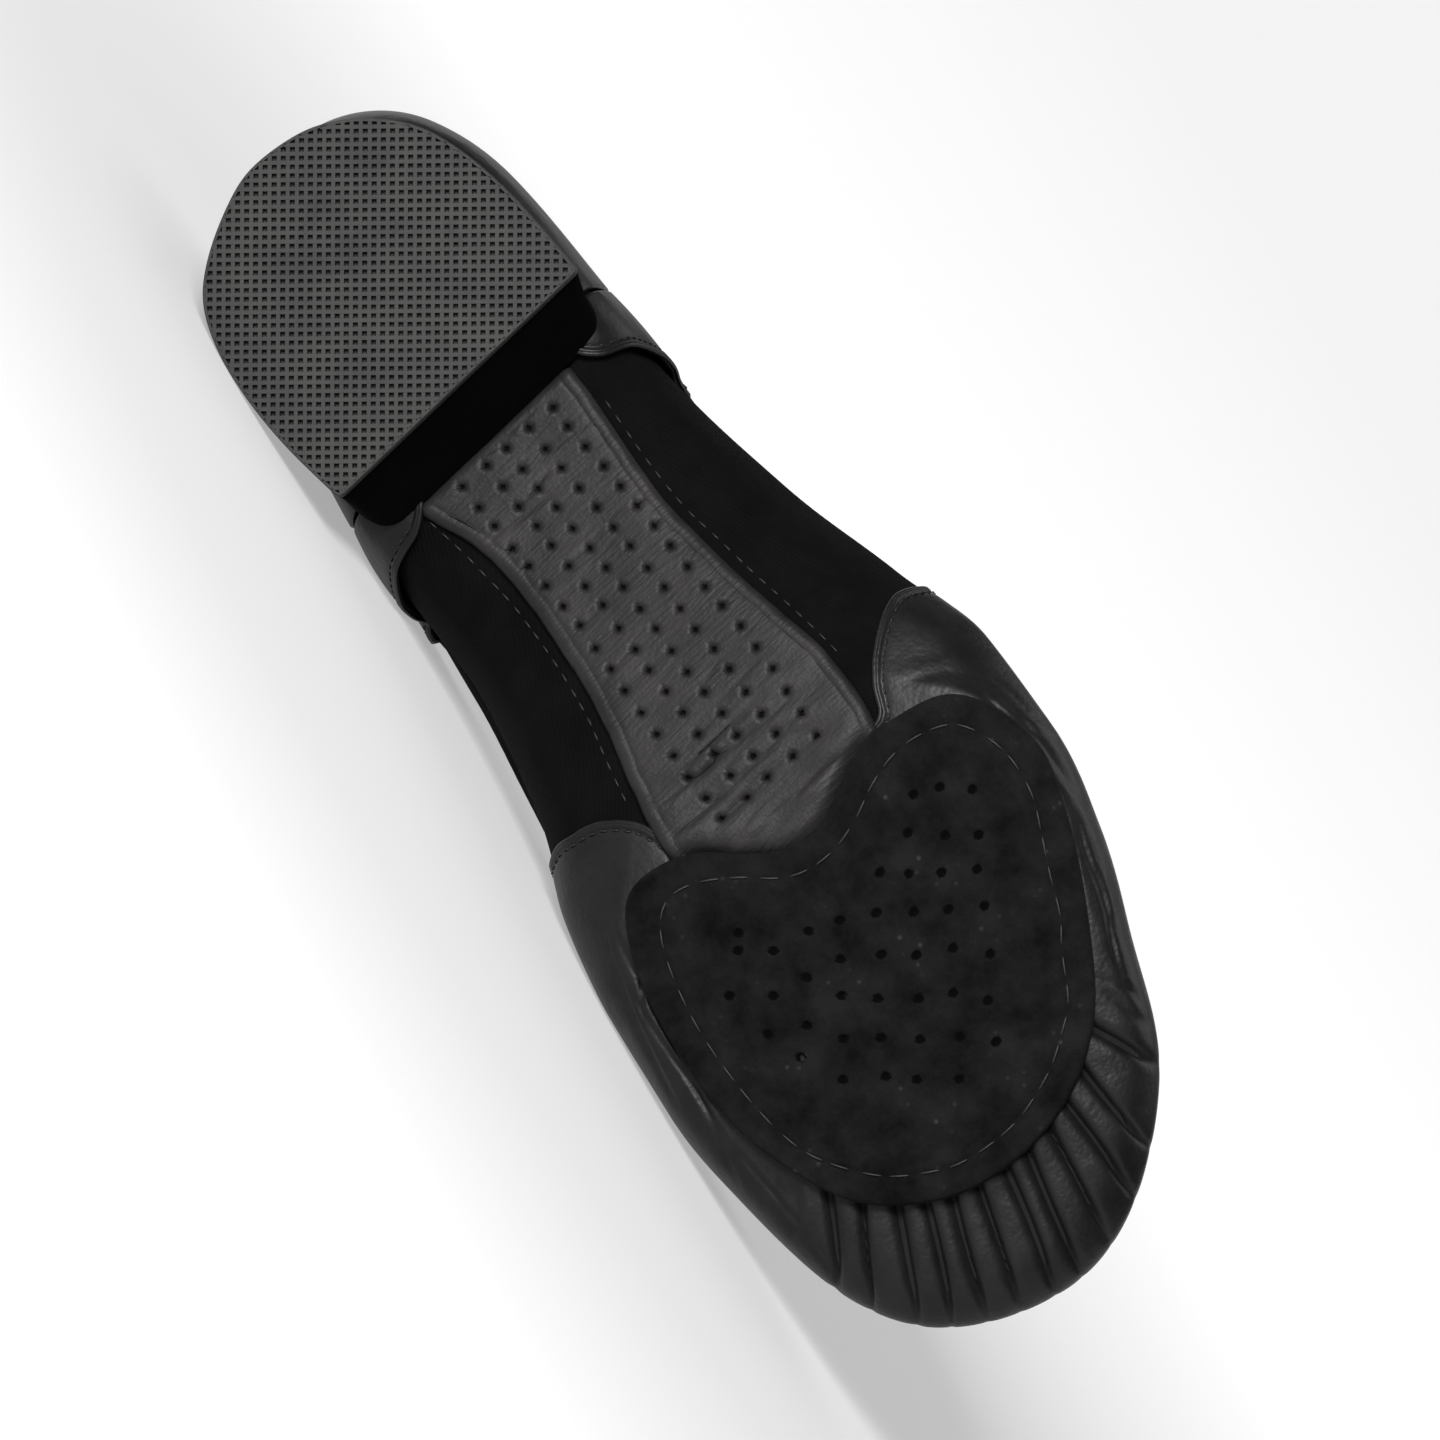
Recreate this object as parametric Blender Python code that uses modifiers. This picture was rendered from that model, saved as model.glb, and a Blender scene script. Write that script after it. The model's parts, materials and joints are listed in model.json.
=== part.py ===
# Split-sole jazz shoe for the right foot, lying on its inner side.
# Metres. The shoe is drawn standing on its sole: x runs from the heel curve to the toe,
# y points to the inner side and z is up. At the end it is laid down on its side.

import math

import bmesh
import bpy
import numpy as np
from mathutils import Matrix, Vector

# Sizes of the last
SHOE_LENGTH = 0.2446
BALL_WIDTH = 0.0935
WAIST_WIDTH = 0.0655
HEEL_WIDTH = 0.0606
COLLAR_WIDTH = 0.0603
BACK_HEIGHT = 0.0417      # back seam above the heel seat
ANKLE_HEIGHT = 0.0377     # side wall above the seat, under the ankle
SIDE_HEIGHT = 0.0370      # side wall above the underside, half way to the joints
JOINT_HEIGHT = 0.0430     # vamp over the joints, above the underside
INSTEP_HEIGHT = 0.0535    # throat above the underside

# Walls and clearances
WALL = 0.0018             # leather and lining together
STRETCH_STEP = 0.0006     # how far the stretch cloth lies below the leather
OVERLAY = 0.0010          # counter, quarters and arch strip
GAP = 0.0003

# Heel
TREAD_THICKNESS = 0.0030
BLOCK_HEIGHT = 0.0150
PAD_LENGTH = 0.0525       # along the middle, from the back to the breast
PAD_SETBACK = 0.0030      # the pad's back edge from the heel curve
BREAST_SKEW = math.radians(9.7)
BREAST_LEAN = 0.0085      # the block is this much longer at its top
BLOCK_TAPER = 0.0016      # each side draws in by this much at the top
BREAST_RADIUS_LOW = 0.0010
BREAST_RADIUS_TOP = 0.0040
RIM_BEVEL = 0.0004

# Forefoot sole, arch strip and insole
PATCH_THICKNESS = 0.0020
INSOLE_THICKNESS = 0.0020
FORE_OPENING = 0.78       # opening under the forefoot, as a share of the patch
HEEL_OPENING = 0.66       # opening in the heel seat, as a share of the block
ARCH_END = 0.620          # where the underside comes down to the forefoot plane

# Seams of the leather pieces
COUNTER_SEAM = 0.0560     # from the heel curve, on the middle line
QUARTER_FRONT = 0.0663    # at seat level
QUARTER_LEAN = math.radians(17)
VAMP_SKEW = math.radians(3)
COLLAR_BAND = 9.25        # ring above which the topline is rolled
COUNTER_TOP = 9.0         # rings that the counter and quarters, strip and insole reach
STRIP_RING = 3
INSOLE_RING = 1.7

# Facets
AROUND = 64
SIDE_CROWDING = 0.125
PATCH_STEPS = 3

# Half widths at stations along a ring, as shares of the width named in the row.
# station, size, under outer, under inner, wide outer, wide inner, collar outer, collar inner
OUTLINES = [
    (0.04, HEEL_WIDTH, 0.264, 0.297, 0.294, 0.289, 0.182, 0.199),
    (0.10, HEEL_WIDTH, 0.347, 0.396, 0.394, 0.434, 0.290, 0.323),
    (0.20, HEEL_WIDTH, 0.371, 0.413, 0.441, 0.493, 0.373, 0.423),
    (0.30, HEEL_WIDTH, 0.305, 0.305, 0.492, 0.525, 0.415, 0.476),
    (0.40, WAIST_WIDTH, 0.282, 0.206, 0.539, 0.461, 0.439, 0.506),
    (0.50, WAIST_WIDTH, 0.344, 0.206, 0.670, 0.499, 0.456, 0.527),
    (0.58, BALL_WIDTH, 0.299, 0.182, 0.542, 0.407, 0.464, 0.536),
    (0.66, BALL_WIDTH, 0.449, 0.316, 0.552, 0.437, 0.446, 0.518),
    (0.74, BALL_WIDTH, 0.503, 0.358, 0.522, 0.443, 0.405, 0.470),
    (0.82, BALL_WIDTH, 0.455, 0.353, 0.456, 0.420, 0.345, 0.398),
    (0.90, BALL_WIDTH, 0.364, 0.299, 0.376, 0.372, 0.262, 0.293),
    (0.96, BALL_WIDTH, 0.235, 0.193, 0.239, 0.281, 0.165, 0.183),
]

# Rings of the upper from the middle of its underside to the collar. Back and front are
# shares of the length, under, wide and collar mix the three outlines, and the rises are
# shares of the back, ankle, side, joint and instep heights. Facets lead up to the next ring.
# back, front, under, wide, collar, then the rises at the back, ankle, waist, joint and
# front, then facets
RINGS = [
    (0.1230, 0.842, 0.0, 0.00, 0.00, 0.000, 0.000, 0.000, 0.000, 0.000, 1),
    (0.0650, 0.895, 0.6, 0.00, 0.00, 0.000, 0.000, 0.000, 0.000, 0.000, 2),
    (0.0310, 0.922, 1.0, 0.00, 0.00, 0.010, 0.011, 0.027, 0.009, 0.019, 2),
    (0.0100, 0.976, 0.3, 0.70, 0.00, 0.105, 0.118, 0.190, 0.079, 0.067, 2),
    (0.0000, 1.000, 0.0, 1.00, 0.00, 0.348, 0.430, 0.578, 0.244, 0.196, 2),
    (0.0030, 0.989, 0.0, 0.93, 0.07, 0.580, 0.592, 0.716, 0.505, 0.336, 2),
    (0.0090, 0.942, 0.0, 0.72, 0.27, 0.712, 0.682, 0.819, 0.721, 0.508, 2),
    (0.0135, 0.844, 0.0, 0.45, 0.54, 0.796, 0.761, 0.865, 0.891, 0.649, 2),
    (0.0170, 0.681, 0.0, 0.12, 0.87, 0.868, 0.841, 0.886, 0.953, 0.798, 2),
    (0.0200, 0.550, 0.0, 0.04, 0.95, 0.935, 0.920, 0.946, 0.942, 0.953, 2),
    (0.0225, 0.480, 0.0, 0.00, 1.00, 1.000, 1.000, 1.000, 0.953, 1.000, 0),
]
RISE_STATIONS = (0.0, 0.20, 0.42, 0.66, 1.0)

# Heel pad from its outer front corner round the back to its inner front corner,
# x as a share of the pad's length and y of the heel width.
PAD_POINTS = [
    (0.924, -0.454), (0.733, -0.434), (0.543, -0.409), (0.352, -0.363), (0.200, -0.294),
    (0.086, -0.186), (0.019, -0.066), (0.000, 0.050), (0.015, 0.182), (0.076, 0.294),
    (0.181, 0.417), (0.295, 0.498), (0.448, 0.538), (0.638, 0.546), (0.848, 0.528),
    (1.109, 0.483),
]

# Forefoot patch, x as a share of the shoe's length and y of the ball width. The last
# rows are the notch round the end of the arch strip.
PATCH_POINTS = [
    (0.599, -0.302), (0.603, -0.406), (0.619, -0.465), (0.648, -0.503), (0.679, -0.517),
    (0.713, -0.498), (0.758, -0.458), (0.821, -0.380), (0.857, -0.318), (0.887, -0.227),
    (0.906, -0.104), (0.909, 0.028), (0.897, 0.135), (0.871, 0.233), (0.833, 0.295),
    (0.783, 0.342), (0.727, 0.358), (0.664, 0.348), (0.619, 0.312), (0.597, 0.267),
    (0.593, 0.193), (0.601, 0.119), (0.621, 0.045), (0.635, -0.032), (0.632, -0.104),
    (0.613, -0.186), (0.600, -0.262),
]

# Arch strip: x as a share of the length, outer and inner edge as shares of the waist width.
STRIP_ROWS = [
    (0.200, -0.230, 0.350), (0.253, -0.234, 0.325), (0.278, -0.240, 0.293), (0.321, -0.241, 0.217),
    (0.363, -0.246, 0.186), (0.406, -0.273, 0.177), (0.448, -0.307, 0.176),
    (0.491, -0.350, 0.189), (0.533, -0.391, 0.215), (0.575, -0.402, 0.232),
    (0.600, -0.392, 0.232), (0.650, -0.300, 0.150),
]

# Folded back edge of the vamp seen from the side: x as a share of the length, height
# above the forefoot's underside as a share of the instep height.
VAMP_EDGE = [
    (0.601, -0.300), (0.601, 0.013), (0.576, 0.032), (0.552, 0.050), (0.540, 0.075),
    (0.531, 0.116), (0.529, 0.200), (0.534, 0.331), (0.534, 0.480), (0.525, 0.667),
    (0.511, 0.854), (0.491, 1.041), (0.470, 1.250),
]

# Weight of each material, for the balance of the shoe lying down
DENSITY = {
    "upper": 780.0,
    "heel_counter": 850.0,
    "quarter_lateral": 850.0,
    "quarter_medial": 850.0,
    "arch_strip": 850.0,
    "forefoot_sole": 700.0,
    "heel_block": 320.0,
    "heel_tread": 1150.0,
    "insole": 300.0,
}

# Levels that follow from the sizes
SEAT_LEVEL = TREAD_THICKNESS + BLOCK_HEIGHT + GAP
FORE_LEVEL = PATCH_THICKNESS + GAP
BLOCK_FRONT = PAD_SETBACK + PAD_LENGTH + BREAST_LEAN
REACH = SHOE_LENGTH       # cutters run this far past the shoe


# A smooth curve through values at rising stations that never overshoots them.
def smooth(stations, values, at):
    stations = np.asarray(stations, dtype=float)
    values = np.asarray(values, dtype=float)
    steps = np.diff(stations)
    slopes = np.diff(values) / steps
    before, after = slopes[:-1], slopes[1:]
    same = before * after > 0
    blend = np.zeros_like(before)
    blend[same] = 2 * before[same] * after[same] / (before[same] + after[same])
    tangents = np.concatenate([[slopes[0]], blend, [slopes[-1]]])
    cell = np.clip(np.searchsorted(stations, at) - 1, 0, len(steps) - 1)
    width = steps[cell]
    part = (at - stations[cell]) / width
    low, high = values[cell], values[cell + 1]
    return ((1 + 2 * part) * (1 - part) ** 2 * low + part * (1 - part) ** 2 * width * tangents[cell]
            + part ** 2 * (3 - 2 * part) * high - part ** 2 * (1 - part) * width * tangents[cell + 1])


# A rounded polyline through points, closed or open, with the given steps per span.
def through(points, steps, closed):
    points = np.asarray(points, dtype=float)
    if closed:
        padded = np.vstack([points[-1], points, points[:2]])
    else:
        padded = np.vstack([2 * points[0] - points[1], points, 2 * points[-1] - points[-2]])
    part = (np.arange(steps) / steps)[:, None]
    spans = []
    for a, b, c, d in zip(padded, padded[1:], padded[2:], padded[3:]):
        spans.append(0.5 * (2 * b + (c - a) * part + (2 * a - 5 * b + 4 * c - d) * part ** 2
                            + (3 * b - a - 3 * c + d) * part ** 3))
    if not closed:
        spans.append(points[-1:])
    return np.vstack(spans)


# Underside of the upper on its middle line: heel seat, falling arch, flat forefoot.
def underside(x):
    part = np.clip((x - BLOCK_FRONT) / (ARCH_END * SHOE_LENGTH - BLOCK_FRONT), 0, 1)
    return SEAT_LEVEL + (FORE_LEVEL - SEAT_LEVEL) * part ** 2 * (3 - 2 * part)


# Points of the upper's outer face for ring levels and angles round the foot. An angle of
# zero is the toe tip, and positive angles go round the inner side. Along each ring x goes
# with the cosine, the half width is read at the same station, and the height is the
# underside's plus the ring's rise.
def upper_points(levels, angles):
    rings = np.array(RINGS)
    columns = [smooth(np.arange(len(RINGS)), rings[:, i], levels)[:, None] for i in range(10)]
    back, front, under, wide, collar = columns[:5]
    heights = (BACK_HEIGHT, ANKLE_HEIGHT, SIDE_HEIGHT, JOINT_HEIGHT, INSTEP_HEIGHT)
    rises = np.hstack([column * height for column, height in zip(columns[5:], heights)])
    station = (1 + np.cos(angles)) / 2
    x = SHOE_LENGTH * (back + (front - back) * station[None, :])

    table = np.array(OUTLINES)
    turns = np.arccos(1 - 2 * np.concatenate([[0], table[:, 0], [1]]))
    here = np.arccos(1 - 2 * station)
    inner = np.sin(angles) >= 0
    halves = []
    for first in (2, 4, 6):
        size = COLLAR_WIDTH if first == 6 else table[:, 1]
        outer_side, inner_side = [
            smooth(turns, np.concatenate([[0], table[:, column] * size, [0]]), here)
            for column in (first, first + 1)]
        halves.append(np.where(inner, inner_side, -outer_side)[None, :])
    y = under * halves[0] + wide * halves[1] + collar * halves[2]

    rise = np.array([smooth(RISE_STATIONS, row, station) for row in rises])
    return np.stack([x, y, underside(x) + rise], axis=-1)


# Angles round the foot, a little closer together along the sides than at the ends.
def around(count):
    turn = np.arange(count) * 2 * math.pi / count
    return turn + SIDE_CROWDING * np.sin(2 * turn)


# Ring levels between two rings, with the facets of the ring table.
def ring_levels(low, high):
    marks = [low]
    for index, row in enumerate(RINGS[:-1]):
        marks += list(index + np.arange(row[-1]) / row[-1])
    marks = [mark for mark in marks if low <= mark < high] + [high]
    return np.unique(np.round(marks, 4))


def add_object(name, mesh, collection):
    thing = bpy.data.objects.new(name, mesh)
    collection.objects.link(thing)
    return thing


# Face of the upper between two ring levels, closed along the middle of the underside.
def surface_mesh(name, low, high, count):
    levels = ring_levels(low, high)
    points = upper_points(levels, around(count))
    index = np.arange(points.shape[0] * count).reshape(points.shape[0], count)
    ahead = np.roll(index, -1, axis=1)
    quads = np.stack([index[:-1], ahead[:-1], ahead[1:], index[1:]], axis=-1).reshape(-1, 4)
    mesh = bpy.data.meshes.new(name)
    mesh.from_pydata(points.reshape(-1, 3).tolist(), [], quads.tolist())
    shape = bmesh.new()
    shape.from_mesh(mesh)
    bmesh.ops.remove_doubles(shape, verts=shape.verts, dist=1e-6)
    shape.to_mesh(mesh)
    shape.free()
    return mesh


# A shell that lies between two distances from the upper's face, outwards positive.
def shell(name, mesh, low, high, collection):
    thing = add_object(name, mesh, collection)
    solid = thing.modifiers.new("wall", "SOLIDIFY")
    solid.thickness = high - low
    solid.offset = (high + low) / (high - low)
    thing.modifiers.new("facets", "TRIANGULATE")
    return thing


# A prism over a plan outline, or over a side outline that runs across the shoe.
def prism(name, outline, low, high, collection, across=False, skew=0.0):
    shape = bmesh.new()
    if across:
        corners = [(x + math.tan(skew) * low, low, z) for x, z in outline]
        push = (math.tan(skew) * (high - low), high - low, 0)
    else:
        corners = [(x, y, low) for x, y in outline]
        push = (0, 0, high - low)
    base = shape.faces.new([shape.verts.new(corner) for corner in corners])
    grown = bmesh.ops.extrude_face_region(shape, geom=[base])["geom"]
    moved = [item for item in grown if isinstance(item, bmesh.types.BMVert)]
    bmesh.ops.translate(shape, verts=moved, vec=push)
    bmesh.ops.recalc_face_normals(shape, faces=shape.faces)
    mesh = bpy.data.meshes.new(name)
    shape.to_mesh(mesh)
    shape.free()
    return add_object(name, mesh, collection)


# A block lofted between two outlines with the same number of points.
def loft(name, low_outline, high_outline, low, high, collection):
    shape = bmesh.new()
    rows = []
    for outline, level in ((low_outline, low), (high_outline, high)):
        rows.append([shape.verts.new((x, y, level)) for x, y in outline])
    shape.faces.new(rows[0])
    shape.faces.new(rows[1])
    for i, corner in enumerate(rows[0]):
        shape.faces.new((rows[0][i - 1], corner, rows[1][i], rows[1][i - 1]))
    bmesh.ops.recalc_face_normals(shape, faces=shape.faces)
    mesh = bpy.data.meshes.new(name)
    shape.to_mesh(mesh)
    shape.free()
    return add_object(name, mesh, collection)


def boolean(thing, cutter, operation):
    modifier = thing.modifiers.new(operation.lower() + "_" + cutter.name, "BOOLEAN")
    modifier.operation = operation
    modifier.object = cutter


def bevel_rim(thing, width):
    modifier = thing.modifiers.new("rim", "BEVEL")
    modifier.width = width
    modifier.segments = 1
    modifier.angle_limit = math.radians(60)


# Outline with its first and last corner rounded by one radius.
def round_ends(outline, radius):
    outline = [Vector(point) for point in outline]
    rounded = []
    for corner, inside, other in ((outline[0], outline[1], outline[-1]),
                                  (outline[-1], outline[-2], outline[0])):
        to_inside = (inside - corner).normalized()
        to_other = (other - corner).normalized()
        half = to_inside.angle(to_other) / 2
        reach = radius / math.tan(half)
        centre = corner + (to_inside + to_other).normalized() * radius / math.sin(half)
        start, end = corner + to_inside * reach, corner + to_other * reach
        turns = [start.lerp(end, part) for part in (0, 0.25, 0.5, 0.75, 1)]
        rounded.append([centre + (point - centre).normalized() * radius for point in turns])
    return rounded[0][::-1] + outline[2:-2] + rounded[1]


def scaled(outline, share):
    outline = np.asarray(outline, dtype=float)
    centre = (outline.min(axis=0) + outline.max(axis=0)) / 2
    return centre + (outline - centre) * share


# Outline moved outwards by a distance along its own normals.
def grown(outline, distance):
    outline = np.asarray(outline, dtype=float)
    along = np.roll(outline, -1, axis=0) - np.roll(outline, 1, axis=0)
    along /= np.linalg.norm(along, axis=1)[:, None]
    normal = np.stack([along[:, 1], -along[:, 0]], axis=1)
    x, y = outline[:, 0], outline[:, 1]
    turning = np.sum(x * np.roll(y, -1) - y * np.roll(x, -1))
    return outline + normal * distance * np.sign(turning)


# Heel outline from the pad's points, longer in front by a lean and narrower by a taper.
def heel_outline(lean, taper, steps):
    points = np.array(PAD_POINTS) * (PAD_LENGTH + lean - taper, HEEL_WIDTH - 2 * taper)
    points[:, 0] += PAD_SETBACK + taper
    front = PAD_SETBACK + PAD_LENGTH + lean
    for row in (0, -1):
        points[row, 0] = front + math.tan(BREAST_SKEW) * points[row, 1]
    return through(points, steps, closed=False)


def patch_outline(steps):
    return through(np.array(PATCH_POINTS) * (SHOE_LENGTH, BALL_WIDTH), steps, closed=True)


def strip_outline(margin):
    rows = np.array(STRIP_ROWS)
    x = rows[:, 0] * SHOE_LENGTH
    outer = np.stack([x, rows[:, 1] * WAIST_WIDTH - margin], axis=1)
    inner = np.stack([x, rows[:, 2] * WAIST_WIDTH + margin], axis=1)
    return np.vstack([through(outer, 2, closed=False), through(inner[::-1], 2, closed=False)])


def material(name, colour, roughness):
    made = bpy.data.materials.new(name)
    made.use_nodes = True
    shader = made.node_tree.nodes["Principled BSDF"]
    shader.inputs["Base Color"].default_value = (*colour, 1)
    shader.inputs["Roughness"].default_value = roughness
    made.diffuse_color = (*colour, 1)
    return made


def paint(thing, finish):
    thing.data.materials.append(finish)


# Tread and foam block of the heel, one under the other.
def make_heel(parts, rubber, foam):
    tread = prism("heel_tread", heel_outline(0, 0, 2), 0, TREAD_THICKNESS - GAP, parts)
    bevel_rim(tread, RIM_BEVEL)
    paint(tread, rubber)
    low = round_ends(heel_outline(0, 0, 2), BREAST_RADIUS_LOW)
    top = round_ends(heel_outline(BREAST_LEAN, BLOCK_TAPER, 2), BREAST_RADIUS_TOP)
    block = loft("heel_block", low, top, TREAD_THICKNESS, TREAD_THICKNESS + BLOCK_HEIGHT, parts)
    paint(block, foam)
    return tread, block


def make_patch(parts, suede):
    patch = prism("forefoot_sole", patch_outline(PATCH_STEPS), 0, PATCH_THICKNESS, parts)
    bevel_rim(patch, RIM_BEVEL)
    paint(patch, suede)
    return patch


# A slab across the shoe between two skewed planes, the front one leaning forwards.
def slab(name, back, front, lean, low_y, high_y, cutters):
    outline = []
    for edge, sign in ((back, 1), (front, -1)):
        foot = SEAT_LEVEL - BLOCK_HEIGHT / 4
        heights = (foot, SEAT_LEVEL + REACH / 2)[::sign]
        slope = 0 if edge == back else math.tan(lean)
        outline += [(edge + slope * (z - SEAT_LEVEL), z) for z in heights]
    return prism(name, outline, low_y, high_y, cutters, across=True, skew=BREAST_SKEW)


def make_cutters(cutters):
    made = {}
    block_top = round_ends(heel_outline(BREAST_LEAN, BLOCK_TAPER, 2), BREAST_RADIUS_TOP)
    made["block"] = prism("block_room", grown(block_top, GAP), -REACH / 3,
                          SEAT_LEVEL + STRETCH_STEP + GAP, cutters)
    made["patch"] = prism("patch_room", grown(patch_outline(PATCH_STEPS), GAP), -REACH / 3,
                          FORE_LEVEL + OVERLAY, cutters)
    made["strip_room"] = prism("strip_room", strip_outline(GAP), -REACH / 5, REACH / 9, cutters)
    made["strip"] = prism("strip_shape", strip_outline(0), -REACH / 4, REACH / 9, cutters)
    made["fore_opening"] = prism("fore_opening", scaled(patch_outline(PATCH_STEPS), FORE_OPENING),
                                 -REACH / 4, FORE_LEVEL + 2 * WALL, cutters)
    made["heel_opening"] = prism("heel_opening", scaled(block_top, HEEL_OPENING),
                                 -REACH / 4, SEAT_LEVEL + 2 * WALL, cutters)
    made["counter"] = slab("counter_side", -REACH, COUNTER_SEAM - GAP / 2, 0, -REACH, REACH, cutters)
    made["lateral"] = slab("outer_side", COUNTER_SEAM + GAP / 2, QUARTER_FRONT, QUARTER_LEAN,
                           -REACH, -GAP / 2, cutters)
    made["medial"] = slab("inner_side", COUNTER_SEAM + GAP / 2, QUARTER_FRONT, QUARTER_LEAN,
                          GAP / 2, REACH, cutters)
    edge = [(x * SHOE_LENGTH, FORE_LEVEL + z * INSTEP_HEIGHT) for x, z in VAMP_EDGE]
    behind = [(-REACH, edge[-1][1]), (-REACH, edge[0][1])]
    made["behind_vamp"] = prism("behind_vamp", edge + behind, -REACH, REACH, cutters,
                                across=True, skew=VAMP_SKEW)
    boolean(made["behind_vamp"], made["strip_room"], "UNION")
    for side in ("counter", "lateral", "medial", "strip", "behind_vamp"):
        boolean(made[side], made["block"], "DIFFERENCE")
    for side in ("lateral", "medial"):
        boolean(made[side], made["strip_room"], "DIFFERENCE")
    boolean(made["strip"], made["patch"], "DIFFERENCE")
    return made


# The hollow upper: one wall, thinner at the stretch cloth, open at the collar and below.
def make_upper(parts, cutters, tools, leather):
    upper = shell("upper", surface_mesh("upper", 0, len(RINGS) - 1, AROUND), -WALL, 0, parts)
    recess = shell("recess", surface_mesh("recess", 0, COLLAR_BAND, AROUND),
                   -STRETCH_STEP, OVERLAY, cutters)
    boolean(recess, tools["behind_vamp"], "INTERSECT")
    boolean(upper, recess, "DIFFERENCE")
    boolean(upper, tools["fore_opening"], "DIFFERENCE")
    boolean(upper, tools["heel_opening"], "DIFFERENCE")
    paint(upper, leather)
    return upper


# Leather pieces that lie on the upper, between one gap off its wall and their thickness.
def make_overlays(parts, tools, leather, strip_leather):
    low = GAP - STRETCH_STEP
    made = []
    for name, side in (("heel_counter", "counter"), ("quarter_lateral", "lateral"),
                       ("quarter_medial", "medial")):
        piece = shell(name, surface_mesh(name, 1, COUNTER_TOP, AROUND), low, low + OVERLAY, parts)
        boolean(piece, tools[side], "INTERSECT")
        paint(piece, leather)
        made.append(piece)
    strip = shell("arch_strip", surface_mesh("arch_strip", 0, STRIP_RING, AROUND), low, low + OVERLAY, parts)
    boolean(strip, tools["strip"], "INTERSECT")
    paint(strip, strip_leather)
    return made + [strip]


def make_insole(parts, lining):
    top = -WALL - GAP
    insole = shell("insole", surface_mesh("insole", 0, INSOLE_RING, AROUND), top - INSOLE_THICKNESS,
                   top, parts)
    paint(insole, lining)
    return insole


# Vertices, and volume with centre, of an object as its modifiers leave it.
def measure(thing, depsgraph):
    mesh = thing.evaluated_get(depsgraph).to_mesh()
    mesh.calc_loop_triangles()
    points = np.empty(len(mesh.vertices) * 3)
    mesh.vertices.foreach_get("co", points)
    points = points.reshape(-1, 3)
    corners = np.empty(len(mesh.loop_triangles) * 3, dtype=int)
    mesh.loop_triangles.foreach_get("vertices", corners)
    a, b, c = np.moveaxis(points[corners.reshape(-1, 3)], 1, 0)
    wedge = np.einsum("ij,ij->i", a, np.cross(b, c)) / 6
    volume = wedge.sum()
    return points, volume, ((a + b + c) / 4 * wedge[:, None]).sum(axis=0) / volume


# Normal of the floor that the shoe lies on: the hull face under its centre of mass that
# looks most to the inner side.
def floor_normal(points, centre):
    hull = bmesh.new()
    for point in points:
        hull.verts.new(point)
    bmesh.ops.convex_hull(hull, input=hull.verts)
    best = None
    for face in hull.faces:
        corners = [vert.co for vert in face.verts]
        normal = (corners[1] - corners[0]).cross(corners[2] - corners[0]).normalized()
        if normal.dot(corners[0] - centre) < 0:
            normal = -normal
        foot = centre + normal * normal.dot(corners[0] - centre)
        sides = [(b - a).cross(foot - a).dot(normal) for a, b in zip(corners, corners[1:] + corners[:1])]
        inside = min(sides) > 0 or max(sides) < 0
        if inside and (best is None or normal.y > best.y):
            best = normal
    hull.free()
    return best


# Lay the shoe on its inner side with the toe along x and the middle of its box over the
# origin, by turning the empty that carries all pieces.
def lay_down(carrier, pieces):
    bpy.context.view_layer.update()
    depsgraph = bpy.context.evaluated_depsgraph_get()
    weight, moment, clouds = 0.0, np.zeros(3), []
    for piece in pieces:
        points, volume, centre = measure(piece, depsgraph)
        clouds.append(points)
        weight += volume * DENSITY[piece.name]
        moment += volume * DENSITY[piece.name] * centre
    cloud = np.vstack(clouds)
    up = -floor_normal(cloud, Vector(moment / weight))
    along = Vector((1, 0, 0))
    along = (along - up * along.dot(up)).normalized()
    turn = np.array([along, up.cross(along), up])
    turned = cloud @ turn.T
    low, high = turned.min(axis=0), turned.max(axis=0)
    shift = Vector((-(low[0] + high[0]) / 2, -(low[1] + high[1]) / 2, -low[2]))
    carrier.matrix_world = Matrix.Translation(shift) @ Matrix(turn.tolist()).to_4x4()


def clear_scene():
    for thing in list(bpy.data.objects):
        bpy.data.objects.remove(thing, do_unlink=True)


def build():
    clear_scene()
    parts = bpy.data.collections.new("jazz_shoe")
    cutters = bpy.data.collections.new("cutters")
    for collection in (parts, cutters):
        bpy.context.scene.collection.children.link(collection)

    leather = material("black glove leather", (0.012, 0.012, 0.012), 0.45)
    strip_leather = material("perforated leather", (0.040, 0.038, 0.038), 0.5)
    suede = material("black suede", (0.007, 0.007, 0.007), 0.95)
    rubber = material("tread rubber", (0.038, 0.038, 0.038), 0.7)
    foam = material("black foam", (0.003, 0.003, 0.003), 0.9)
    lining = material("black lining cloth", (0.015, 0.015, 0.015), 0.9)

    tools = make_cutters(cutters)
    pieces = list(make_heel(parts, rubber, foam))
    pieces.append(make_patch(parts, suede))
    pieces.append(make_upper(parts, cutters, tools, leather))
    pieces += make_overlays(parts, tools, leather, strip_leather)
    pieces.append(make_insole(parts, lining))
    for cutter in cutters.objects:
        cutter.hide_render = True
        cutter.display_type = "WIRE"

    carrier = add_object("shoe_pose", None, parts)
    lay_down(carrier, pieces)
    for thing in pieces + list(cutters.objects):
        thing.parent = carrier


build()
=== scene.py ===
# Black split-sole jazz shoe for the right foot, lying on its inner side and seen on its sole.
# Every shape is worked out with the shoe standing on its sole, in metres: x runs from the
# heel to the toe, y points to the inner side and z is up. place() lays it down at the end.
import json
import math

import bmesh
import bpy
import numpy as np
from mathutils import Matrix, Vector


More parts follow.
